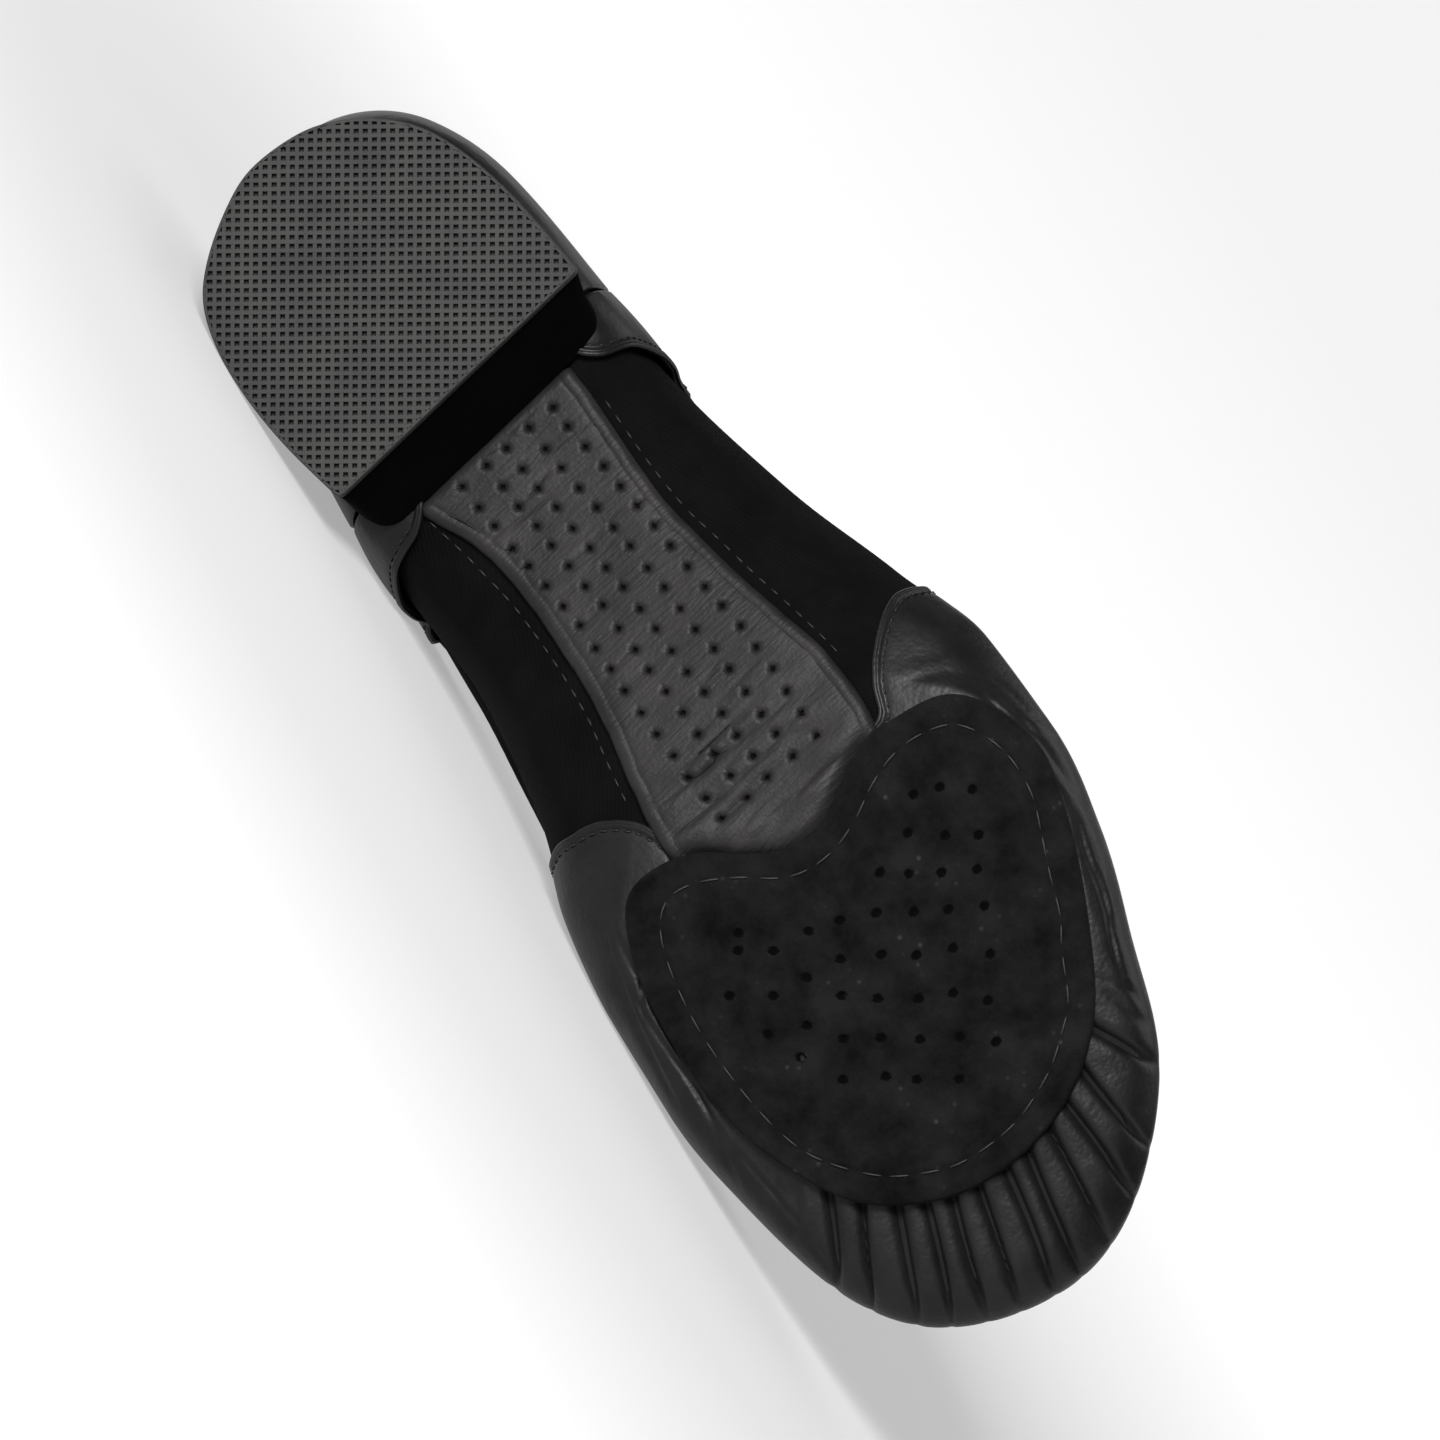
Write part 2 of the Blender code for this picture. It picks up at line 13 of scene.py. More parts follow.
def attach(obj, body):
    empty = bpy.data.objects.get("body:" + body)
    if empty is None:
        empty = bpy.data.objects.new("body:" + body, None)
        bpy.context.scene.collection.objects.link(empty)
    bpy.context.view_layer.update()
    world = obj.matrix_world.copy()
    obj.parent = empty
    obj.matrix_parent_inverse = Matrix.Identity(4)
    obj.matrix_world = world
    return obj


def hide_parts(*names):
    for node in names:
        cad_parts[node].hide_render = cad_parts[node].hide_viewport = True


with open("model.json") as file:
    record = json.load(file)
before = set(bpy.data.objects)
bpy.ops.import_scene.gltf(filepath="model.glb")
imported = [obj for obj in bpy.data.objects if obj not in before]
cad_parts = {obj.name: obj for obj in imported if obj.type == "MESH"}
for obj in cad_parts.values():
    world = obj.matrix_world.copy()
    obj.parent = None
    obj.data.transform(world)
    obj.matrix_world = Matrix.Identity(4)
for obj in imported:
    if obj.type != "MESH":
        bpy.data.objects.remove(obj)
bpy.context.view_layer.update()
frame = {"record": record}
rng = np.random.default_rng(11)
mm = 0.001

# Sizes of the last, as in the solid model
last = {
    "length": 0.2446, "ball": 0.0935, "waist": 0.0655, "heel": 0.0606, "collar": 0.0603,
    "heights": (0.0417, 0.0377, 0.0370, 0.0430, 0.0535),
    "seat": 0.0183, "fore": 0.0023, "blockFront": 0.0640, "archEnd": 0.620,
    "breastSkew": math.radians(9.7), "wall": 0.0018,
}
# station, then half widths as shares: under outer, inner, wide outer, inner, collar outer, inner
outlineRows = np.array([
    (0.04, 0.264, 0.297, 0.294, 0.289, 0.182, 0.199), (0.10, 0.347, 0.396, 0.394, 0.434, 0.290, 0.323),
    (0.20, 0.371, 0.413, 0.441, 0.493, 0.373, 0.423), (0.30, 0.305, 0.305, 0.492, 0.525, 0.415, 0.476),
    (0.40, 0.282, 0.206, 0.539, 0.461, 0.439, 0.506), (0.50, 0.344, 0.206, 0.670, 0.499, 0.456, 0.527),
    (0.58, 0.299, 0.182, 0.542, 0.407, 0.464, 0.536), (0.66, 0.449, 0.316, 0.552, 0.437, 0.446, 0.518),
    (0.74, 0.503, 0.358, 0.522, 0.443, 0.405, 0.470), (0.82, 0.455, 0.353, 0.456, 0.420, 0.345, 0.398),
    (0.90, 0.364, 0.299, 0.376, 0.372, 0.262, 0.293), (0.96, 0.235, 0.193, 0.239, 0.281, 0.165, 0.183),
])
outlineSizes = np.array([last["heel"]] * 4 + [last["waist"]] * 2 + [last["ball"]] * 6)
# Rings from the middle of the underside to the collar: back, front, under, wide, collar,
# then the rises at the back, ankle, waist, joint and front
ringRows = np.array([
    (0.1230, 0.842, 0.0, 0.00, 0.00, 0.000, 0.000, 0.000, 0.000, 0.000),
    (0.0650, 0.895, 0.6, 0.00, 0.00, 0.000, 0.000, 0.000, 0.000, 0.000),
    (0.0310, 0.922, 1.0, 0.00, 0.00, 0.010, 0.011, 0.027, 0.009, 0.019),
    (0.0100, 0.976, 0.3, 0.70, 0.00, 0.105, 0.118, 0.190, 0.079, 0.067),
    (0.0000, 1.000, 0.0, 1.00, 0.00, 0.348, 0.430, 0.578, 0.244, 0.196),
    (0.0030, 0.989, 0.0, 0.93, 0.07, 0.580, 0.592, 0.716, 0.505, 0.336),
    (0.0090, 0.942, 0.0, 0.72, 0.27, 0.712, 0.682, 0.819, 0.721, 0.508),
    (0.0135, 0.844, 0.0, 0.45, 0.54, 0.796, 0.761, 0.865, 0.891, 0.649),
    (0.0170, 0.681, 0.0, 0.12, 0.87, 0.868, 0.841, 0.886, 0.953, 0.798),
    (0.0200, 0.550, 0.0, 0.04, 0.95, 0.935, 0.920, 0.946, 0.942, 0.953),
    (0.0225, 0.480, 0.0, 0.00, 1.00, 1.000, 1.000, 1.000, 0.953, 1.000),
])
riseStations = (0.0, 0.20, 0.42, 0.66, 1.0)
topRing = len(ringRows) - 1


# Cubic through values at rising stations, with slopes that never overshoot them.
def smooth(stations, values, at):
    stations, values = np.asarray(stations, float), np.asarray(values, float)
    steps = np.diff(stations)
    slopes = np.diff(values) / steps
    before, after = slopes[:-1], slopes[1:]
    same = before * after > 0
    blend = np.zeros_like(before)
    blend[same] = 2 * before[same] * after[same] / (before[same] + after[same])
    tangents = np.concatenate([[slopes[0]], blend, [slopes[-1]]])
    cell = np.clip(np.searchsorted(stations, at) - 1, 0, len(steps) - 1)
    width = steps[cell]
    part = (at - stations[cell]) / width
    low, high = values[cell], values[cell + 1]
    return ((1 + 2 * part) * (1 - part) ** 2 * low + part * (1 - part) ** 2 * width * tangents[cell]
            + part ** 2 * (3 - 2 * part) * high - part ** 2 * (1 - part) * width * tangents[cell + 1])


# Rounded line through points: each span is a cubic whose end slopes are half the step between
# the neighbours on both sides.
def through(points, steps, closed):
    points = np.asarray(points, float)
    if closed:
        padded = np.vstack([points[-1], points, points[:2]])
    else:
        padded = np.vstack([2 * points[0] - points[1], points, 2 * points[-1] - points[-2]])
    part = (np.arange(steps) / steps)[:, None]
    spans = [0.5 * (2 * b + (c - a) * part + (2 * a - 5 * b + 4 * c - d) * part ** 2
                    + (3 * b - a - 3 * c + d) * part ** 3)
             for a, b, c, d in zip(padded, padded[1:], padded[2:], padded[3:])]
    return np.vstack(spans if closed else spans + [points[-1:]])


# Middle line of the underside: seat, then a half cosine-like fall, then the flat forefoot.
def underside(x):
    part = np.clip((x - last["blockFront"]) / (last["archEnd"] * last["length"] - last["blockFront"]), 0, 1)
    return last["seat"] + (last["fore"] - last["seat"]) * part ** 2 * (3 - 2 * part)


# Outer face of the upper. Every ring is worked out at each angle: x goes with the cosine of
# the angle, the half width and the rise are read at that station. A cubic whose slopes never
# overshoot then joins the rings at the wanted level.
def lastPoints(levels, angles):
    levels = np.asarray(levels, float)
    angles = np.asarray(angles, float)
    if angles.ndim == 1:
        angles = angles[None, :]
    shared = len(angles) == 1
    station = np.clip((1 + np.cos(angles)) / 2, 0, 1)
    turns = np.arccos(1 - 2 * np.concatenate([[0], outlineRows[:, 0], [1]]))
    here = np.arccos(1 - 2 * station)
    inner = np.sin(angles) >= 0
    halves = []
    for first, size in ((1, outlineSizes), (3, outlineSizes), (5, last["collar"])):
        outerSide, innerSide = [
            smooth(turns, np.concatenate([[0], outlineRows[:, first + k] * size, [0]]), here)
            for k in (0, 1)]
        halves.append(np.where(inner, innerSide, -outerSide))
    rings = []
    for row in ringRows:
        rise = smooth(riseStations, row[5:] * last["heights"], station)
        rings.append(np.stack([last["length"] * (row[0] + (row[1] - row[0]) * station),
                               row[2] * halves[0] + row[3] * halves[1] + row[4] * halves[2], rise], axis=-1))
    rings = np.array(rings)
    slopes = np.diff(rings, axis=0)
    before, after = slopes[:-1], slopes[1:]
    rising = before * after > 0
    middle = np.where(rising, 2 * before * after / np.where(rising, before + after, 1), 0)
    tangents = np.concatenate([slopes[:1], middle, slopes[-1:]])
    cell = np.clip(np.ceil(levels).astype(int) - 1, 0, topRing - 1)
    part = (levels - cell)[:, None, None]
    pick = ((lambda table, at: table[at, 0]) if shared
            else (lambda table, at: table[at, np.arange(len(levels))]))
    points = ((1 + 2 * part) * (1 - part) ** 2 * pick(rings, cell)
              + part * (1 - part) ** 2 * pick(tangents, cell)
              + part ** 2 * (3 - 2 * part) * pick(rings, cell + 1)
              - part ** 2 * (1 - part) * pick(tangents, cell + 1))
    points[..., 2] += underside(points[..., 0])
    return points


def unit(vectors):
    return vectors / np.maximum(np.linalg.norm(vectors, axis=-1, keepdims=True), 1e-12)


# Rising values in runs of (start, end, count); only the last run keeps its end.
def inRuns(*parts):
    return np.concatenate([np.linspace(a, b, n, endpoint=part is parts[-1])
                           for part in parts for a, b, n in [part]])


# Distance run along a path of points, from its start.
def runAlong(path):
    return np.concatenate([[0], np.cumsum(np.linalg.norm(np.diff(path, axis=0), axis=1))])


# Points lifted off the last along its normal, with the normals. The normal is the cross
# product of the steps round the foot and up the wall; on the flat sole it looks down.
def skin(levels, angles, lift=0.0, up=0.0):
    levels = np.asarray(levels, float)
    base = lastPoints(levels, angles)
    rise = (lastPoints(np.minimum(levels + 0.02, topRing), angles)
            - lastPoints(np.maximum(levels - 0.02, 0), angles))
    sweep = lastPoints(levels, np.asarray(angles) + 0.003) - lastPoints(levels, np.asarray(angles) - 0.003)
    normal = unit(np.cross(sweep, rise))
    slope = (underside(base[..., 0] + mm) - underside(base[..., 0] - mm)) / (2 * mm)
    flat = unit(np.stack([slope, 0 * slope, 0 * slope - 1], axis=-1))
    share = np.clip((levels - 0.9) / 0.5, 0, 1)[:, None, None]
    normal = unit(flat * (1 - share) + normal * share)
    lift = np.asarray(lift, float)
    if lift.ndim == 1:
        lift = lift[:, None]
    up = np.asarray(up, float)
    if up.ndim == 1:
        up = up[:, None]
    return base + normal * lift[..., None] + unit(rise) * up[..., None], normal


# Angle on one side of the foot at which each ring crosses an edge surface x = edge(y, z).
def crossing(levels, side, edge):
    angles = np.linspace(0, math.pi, 1300)
    points = lastPoints(levels, side * angles)
    ahead = points[..., 0] - edge(points[..., 1], points[..., 2])
    first = np.clip(np.argmax(ahead < 0, axis=1), 1, None)
    row = np.arange(len(levels))
    a, b = ahead[row, first - 1], ahead[row, first]
    part = np.clip(a / np.where(a == b, 1, a - b), 0, 1)
    return side * (angles[first - 1] + part * (angles[first] - angles[first - 1]))


# Columns of a panel between two edges: at set distances from both edges, then even angles, or
# even angles to a middle part that is the same in every row, so that its pleats aren't sheared.
def panelAngles(levels, start, end, count, near, far, core=None):
    part = np.linspace(0, 1, 300)
    wide = start[:, None] + (end - start)[:, None] * part
    path = lastPoints(levels, wide)
    run = np.zeros(wide.shape)
    run[:, 1:] = np.cumsum(np.linalg.norm(np.diff(path, axis=1), axis=2), axis=1)
    total = run[:, -1:]
    first = np.asarray(near) * mm * np.minimum(1, total / (0.003 * near[-1] + 1e-9))
    final = total - np.asarray(far)[::-1] * mm * np.minimum(1, total / (0.003 * far[-1] + 1e-9))
    rows, distances = [], []
    for r, w, a, b in zip(run, wide, first, final):
        head, tail = np.interp(a, r, w), np.interp(b, r, w)
        if core:
            bound, fixed, aside = core
            # never past its own edges
            left, right = min(bound, 0.9 * head[-1]), max(-bound, 0.9 * tail[0])
            middle = np.concatenate([np.linspace(head[-1], left, aside)[1:-1],
                                     np.linspace(left, right, fixed),
                                     np.linspace(right, tail[0], aside)[1:-1]])
        else:
            middle = head[-1] + (tail[0] - head[-1]) * np.linspace(0, 1, count)[1:-1]
        angles = np.concatenate([head, middle, tail])
        order = 1 if w[-1] >= w[0] else -1
        rows.append(angles)
        distances.append(np.interp(order * angles, order * w, r))
    run = np.array(distances)
    return np.array(rows), run / mm, (total - run) / mm


mounts = {mount["name"]: mount for mount in frame["record"]["mounts"]}
heelGround = np.array(mounts["heel_ground"]["pos_m"])
axisZ = -unit(np.array(mounts["heel_ground"]["axis"]))
axisX = unit(np.array(mounts["forefoot_ground"]["pos_m"]) - heelGround)
turn = np.stack([axisX, np.cross(axisZ, axisX), axisZ])
origin = heelGround - 0.030 * axisX      # the heel mount is 30 mm in front of the heel curve


def place(points):
    return np.asarray(points) @ turn + origin


# What the photograph's view shows of a point: across the view along and beside the shoe, in mm.
def toView(points):
    x, y, z = np.moveaxis(points, -1, 0) / mm
    return x - 1.5 + 0.176 * z, -y + 0.07 * z


def makeObject(name, points, faces, finish, smoothShade=True, uv=None, painted_shade=None):
    mesh = bpy.data.meshes.new(name)
    placed = place(points)
    placed[:, 2] = np.maximum(placed[:, 2], 0.02 * mm)      # soft leather lies flat on the floor
    mesh.from_pydata(placed.tolist(), [], faces.tolist() if hasattr(faces, "tolist") else faces)
    if uv is not None:
        corner = np.empty(len(mesh.loops), int)
        mesh.loops.foreach_get("vertex_index", corner)
        mesh.uv_layers.new(name="surface").data.foreach_set("uv", uv[corner].astype(np.float32).ravel())
    if painted_shade is not None:
        mesh.attributes.new("painted_shade", "FLOAT", "POINT").data.foreach_set("value", painted_shade.astype(np.float32).ravel())
    thing = bpy.data.objects.new(name, mesh)
    bpy.context.scene.collection.objects.link(thing)
    shape = bmesh.new()
    shape.from_mesh(mesh)
    bmesh.ops.remove_doubles(shape, verts=shape.verts, dist=2e-6)
    bmesh.ops.dissolve_degenerate(shape, edges=shape.edges, dist=1e-6)
    shape.to_mesh(mesh)
    shape.free()
    mesh.polygons.foreach_set("use_smooth", [smoothShade] * len(mesh.polygons))
    mesh.materials.append(finish)
    return thing


def gridFaces(rows, columns, wrap=False, start=0):
    index = start + np.arange(rows * columns).reshape(rows, columns)
    ahead = np.roll(index, -1, axis=1) if wrap else index[:, 1:]
    here = index if wrap else index[:, :-1]
    return np.stack([here[:-1], ahead[:-1], ahead[1:], here[1:]], axis=-1).reshape(-1, 4)


# Grid of points as a sheet, its faces turned outwards, with a wall if a thickness is given.
def sheetObject(name, grids, finish, thickness=None, wrap=False, flip=False, uvs=None, painted_shades=None):
    points, faces, start = [], [], 0
    for grid in grids:
        rows, columns = grid.shape[:2]
        made = gridFaces(rows, columns, wrap, start)
        faces.append(made[:, ::-1] if flip else made)
        points.append(grid.reshape(-1, 3))
        start += rows * columns
    uv = None if uvs is None else np.vstack([u.reshape(-1, 2) for u in uvs])
    painted_shade = None if painted_shades is None else np.concatenate([p.ravel() for p in painted_shades])
    thing = makeObject(name, np.vstack(points), np.vstack(faces), finish, uv=uv, painted_shade=painted_shade)
    if thickness:
        wall = thing.modifiers.new("wall", "SOLIDIFY")
        wall.thickness = thickness
        wall.offset = -1
    return thing


# Size along and round the shoe of each grid point, as the weave's own coordinates.
def clothUv(grid):
    girth = np.zeros(grid.shape[:2])
    girth[1:] = np.cumsum(np.linalg.norm(np.diff(grid, axis=0), axis=2), axis=0)
    return np.stack([grid[..., 0], girth], axis=-1)


def finishPiece(thing, slot, *nodes):
    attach(thing, "root")
    if nodes:
        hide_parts(*nodes)
    return thing


def hexColour(code):
    parts = [int(code[i:i + 2], 16) / 255 for i in (1, 3, 5)]
    return tuple(c / 12.92 if c <= 0.04045 else ((c + 0.055) / 1.055) ** 2.4 for c in parts) + (1.0,)


# Adds one node with its settings, and sets or links its inputs.
def addNode(tree, kind, inputs=None, **settings):
    made = tree.nodes.new(kind)
    for key, value in settings.items():
        setattr(made, key, value)
    for key, value in (inputs or {}).items():
        if isinstance(value, bpy.types.NodeSocket):
            tree.links.new(value, made.inputs[key])
        else:
            made.inputs[key].default_value = value
    return made


def newFinish(name, values):
    finish = bpy.data.materials.new(name)
    finish.use_nodes = True
    shader = finish.node_tree.nodes["Principled BSDF"]
    for key, value in values.items():
        shader.inputs[key].default_value = value
    return finish, finish.node_tree, shader


def blend(tree, factor, dark, light):
    ramp = addNode(tree, "ShaderNodeMix", {"Factor": factor}, data_type="RGBA")
    ramp.inputs[6].default_value, ramp.inputs[7].default_value = hexColour(dark), hexColour(light)
    return ramp.outputs[2]


noise, cells, wave = "ShaderNodeTexNoise", "ShaderNodeTexVoronoi", "ShaderNodeTexWave"
pebble = {"feature": "SMOOTH_F1"}
threadLook = {"surface": {"Roughness": 0.55, "Specular IOR Level": 0.4},
              "coarse": (noise, 1.5, 0.03, {}), "fine": (noise, 0.2, 0.03, {})}
# Each finish: its surface values, its two shades, and a coarse and a fine layer of relief, which
# are a texture with its grain and depth in mm. Where "along" is given, the layer of that name
# follows the piece's own UV map, stretched or turned.
# A finish flagged for painted shade darkens its colour towards near black where its piece carries painted
# shade, in pinholes and pleat troughs.
finishes = {
    # glove leather, drum dyed: a fine pebble with low hollows and a satin gloss
    "satin_black_glove_leather": {
        "surface": {"Roughness": 0.42, "Specular IOR Level": 0.20}, "shades": ("#0e0e0f", "#191919"),
        "coarse": (noise, 4.5, 0.25, {"Detail": 4.0}), "fine": (cells, 0.75, 0.045, {}, pebble),
        "painted_shades": True},
    # corrected leather of the arch, greyer and drier, wrinkled across, with open pinholes
    "dry_charcoal_arch_leather": {
        "surface": {"Roughness": 0.50, "Specular IOR Level": 0.20}, "shades": ("#171616", "#252323"),
        "coarse": (noise, 1.0, 0.22, {"Detail": 5.0, "Distortion": 0.3}),
        "fine": (cells, 0.6, 0.05, {}, pebble),
        "along": ("coarse", {"Scale": (1 / 0.7, 1 / 6, 1)}), "painted_shades": True},
    # split suede, brushed: a dead matt nap with a soft edge light
    "brushed_black_suede": {
        "surface": {"Roughness": 0.96, "Specular IOR Level": 0.08, "Sheen Weight": 0.02,
                    "Sheen Roughness": 0.6,
                    "Sheen Tint": hexColour("#8a8a8a")}, "shades": ("#050505", "#171717"),
        "coarse": (noise, 2.6, 0.30, {"Detail": 6.0}), "fine": (noise, 0.55, 0.20, {"Detail": 2.0}),
        "painted_shades": True},
    # stretch cloth over neoprene: fine slanting ribs, drawn 0.9 mm apart so that they show
    "ribbed_stretch_cloth": {
        "surface": {"Roughness": 0.85, "Specular IOR Level": 0.05}, "shades": ("#050506", "#0a0a0b"),
        "coarse": (noise, 6.0, 0.10, {}), "fine": (wave, 0.9 / 0.314159, 0.08, {"Distortion": 0.25}),
        "along": ("fine", {"Rotation": (0, 0, math.radians(62))})},
    # closed-cell foam of the heel block: no shine, a very fine crumb
    "matt_black_foam": {
        "surface": {"Roughness": 0.98, "Specular IOR Level": 0.03}, "shades": ("#030303", "#050505"),
        "coarse": (noise, 1.2, 0.07, {"Detail": 3.0}), "fine": (cells, 0.4, 0.05, {})},
    # moulded tread rubber: dark grey with a dull bloom
    "moulded_grey_rubber": {
        "surface": {"Roughness": 0.66, "Specular IOR Level": 0.22}, "shades": ("#2c2c2c", "#373736"),
        "coarse": (noise, 2.5, 0.05, {"Detail": 4.0}), "fine": (noise, 0.3, 0.03, {})},
    # brushed lining cloth: matt black with a close weave
    "black_lining_cloth": {
        "surface": {"Roughness": 0.9, "Specular IOR Level": 0.2, "Sheen Weight": 0.15},
        "shades": ("#0d0d0d", "#161616"),
        "coarse": (noise, 3.0, 0.10, {"Detail": 3.0}), "fine": (noise, 0.35, 0.08, {})},
    # bonded nylon threads, with a slight gloss
    "black_sewing_thread": {**threadLook, "shades": ("#0a0a0a", "#121212")},
    "grey_sewing_thread": {**threadLook, "shades": ("#0e0e0e", "#1b1b1b")},
}


# A finish from its row: the colour drifts between the shades, the piece's own painted shade attribute
# darkens it with painted shade in pinholes and pleat troughs and dulls it, and each layer's bump starts
# from the one before.
def makeFinish(name):
    look = finishes[name]
    finish, tree, shader = newFinish(name, look["surface"])
    coordinates = addNode(tree, "ShaderNodeTexCoord").outputs
    drift = addNode(tree, noise, {"Vector": coordinates["Object"], "Scale": 1 / (9 * mm), "Detail": 6.0,
                                  "Roughness": 0.65})
    spread = addNode(tree, "ShaderNodeMapRange",
                     {"Value": drift.outputs["Fac"], "From Min": 0.34, "From Max": 0.66})
    colour = blend(tree, spread.outputs[0], *look["shades"])
    # painted shade: the piece's attribute darkens the colour towards near black in pinholes and pleat
    # troughs, where shade falls
    if "painted_shades" in look:
        paintedShade = addNode(tree, "ShaderNodeAttribute", attribute_name="painted_shade").outputs["Fac"]
        paintedShade = addNode(tree, "ShaderNodeMapRange",
                       {"Value": paintedShade, "From Min": 0.05, "From Max": 0.35}).outputs[0]
        dark = addNode(tree, "ShaderNodeMix", {"Factor": paintedShade}, data_type="RGBA")
        tree.links.new(colour, dark.inputs[6])
        dark.inputs[7].default_value = hexColour("#010101")
        colour = dark.outputs[2]
        dull = addNode(tree, "ShaderNodeMapRange", {"Value": paintedShade, "To Min": look["surface"]["Roughness"],
                                                    "To Max": 1.0})
        tree.links.new(dull.outputs[0], shader.inputs["Roughness"])
    tree.links.new(colour, shader.inputs["Base Color"])
    bump = {}
    for part in ("coarse", "fine"):
        kind, grain, depth, inputs, *settings = look[part]
        at = coordinates["Object"]
        if look.get("along", ("",))[0] == part:
            at = addNode(tree, "ShaderNodeMapping",
                         {"Vector": coordinates["UV"], **look["along"][1]}).outputs[0]
        texture = addNode(tree, kind, {"Vector": at, "Scale": 1 / (grain * mm), **inputs},
                          **(settings or [{}])[0])
        height = texture.outputs["Distance" if kind == cells else "Fac"]
        made = addNode(tree, "ShaderNodeBump",
                       {"Height": height, "Distance": depth * mm, "Strength": 1.0, **bump})
        bump = {"Normal": made.outputs["Normal"]}
    tree.links.new(bump["Normal"], shader.inputs["Normal"])
    return finish


# A few pale specks of dust in patches: the middles of scattered cells, where a slow noise is high.
def addDust(finish):
    dust = {"apart": 2.3, "patches": 9, "inner": 0.06, "outer": 0.24, "share": 0.4, "colour": "#4a4a46"}
    tree = finish.node_tree
    shader = tree.nodes["Principled BSDF"]
    at = addNode(tree, "ShaderNodeTexCoord").outputs["Object"]
    spots = addNode(tree, cells, {"Vector": at, "Scale": 1 / (dust["apart"] * mm), "Randomness": 1.0})
    where = addNode(tree, noise, {"Vector": at, "Scale": 1 / (dust["patches"] * mm), "Detail": 2.0})
    near = addNode(tree, "ShaderNodeMapRange", {"Value": spots.outputs["Distance"], "From Min": dust["outer"],
                                                "From Max": dust["inner"], "To Min": 0.0, "To Max": 1.0})
    patchy = addNode(tree, "ShaderNodeMapRange", {"Value": where.outputs["Fac"], "From Min": 0.56,
                                                  "From Max": 0.70, "To Min": 0.0, "To Max": dust["share"]})
    speck = addNode(tree, "ShaderNodeMath", {0: near.outputs[0], 1: patchy.outputs[0]}, operation="MULTIPLY")
    mixed = addNode(tree, "ShaderNodeMix", {"Factor": speck.outputs[0]}, data_type="RGBA")
    tree.links.new(shader.inputs["Base Color"].links[0].from_socket, mixed.inputs[6])
    mixed.inputs[7].default_value = hexColour(dust["colour"])
    tree.links.new(mixed.outputs[2], shader.inputs["Base Color"])


leather, perforated, suede, cloth, foam, rubber, lining, darkThread, greyThread = map(makeFinish, finishes)
addDust(suede)
print("finishes made")


stitchStore = {}


# Stitches along a path: each is a small rounded bar whose ends dive into the piece. A ring of
# six points is carried along five stations of the bar.
def sew(store, path, normals, pitch, share=0.62, radius=0.20, sink=0.0, closed=False):
    path, normals = np.asarray(path), np.asarray(normals)
    if closed:
        path, normals = np.vstack([path, path[:1]]), np.vstack([normals, normals[:1]])
    run = runAlong(path)
    count = max(int(run[-1] / (pitch * mm)), 1)
    centre = (np.arange(count) + 0.5) * run[-1] / count
    centre = centre + rng.normal(0, 0.04, count) * pitch * mm
    half = run[-1] / count * share / 2
    stations = np.array([-1.0, -0.72, 0.0, 0.72, 1.0])
    sizes = np.array([0.35, 0.9, 1.0, 0.9, 0.35])
    drop = np.array([-1.2, 0.0, 0.25, 0.0, -1.2])
    at = centre[:, None] + half * stations
    spine = np.stack([np.interp(at, run, path[:, k]) for k in range(3)], axis=-1)
    normal = unit(np.stack([np.interp(centre, run, normals[:, k]) for k in range(3)], axis=-1))
    along = unit(spine[:, -1] - spine[:, 0])
    side = unit(np.cross(along, normal))
    around = np.arange(6) * math.pi / 3
    ring = (side[:, None, None] * np.cos(around)[None, None, :, None]
            + normal[:, None, None] * np.sin(around)[None, None, :, None])
    lift = (drop * radius * mm - sink * mm)[None, :, None] * normal[:, None]
    points = (spine + lift)[:, :, None] + ring * (sizes * radius * mm)[None, :, None, None]
    stitchStore.setdefault(store, []).append(points)


def makeStitches(name, finish, slot):
    points = np.concatenate(stitchStore[name])
    count = len(points)
    index = np.arange(count * 30).reshape(count, 5, 6)
    ahead = np.roll(index, -1, axis=2)
    quads = np.stack([index[:, :-1], index[:, 1:], ahead[:, 1:], ahead[:, :-1]], axis=-1).reshape(-1, 4)
    caps = [list(row) for row in index[:, 0]] + [list(row[::-1]) for row in index[:, -1]]
    thing = makeObject(name, points.reshape(-1, 3), quads.tolist() + caps, finish)
    return finishPiece(thing, slot)


# Path beside a curve on the surface: it moves a distance along the cross product of the
# surface's normal and the curve's direction, on the side that a point lies on.
def besidePath(path, normals, distance, towards):
    along = unit(np.gradient(path, axis=0))
    side = unit(np.cross(normals, along))
    side = side * np.sign(np.sum(side * (np.asarray(towards) - path), axis=1, keepdims=True))
    return path + side * distance * mm


# Even steps along a path of points, carrying its normals.
def evenPath(path, normals, step):
    run = runAlong(path)
    at = np.linspace(0, run[-1], max(int(run[-1] / (step * mm)), 3))
    pick = [np.stack([np.interp(at, run, table[:, k]) for k in range(3)], axis=-1)
            for table in (path, normals)]
    for _ in range(2):
        pick[0][1:-1] = (pick[0][:-2] + 2 * pick[0][1:-1] + pick[0][2:]) / 4
    return pick[0], unit(pick[1])


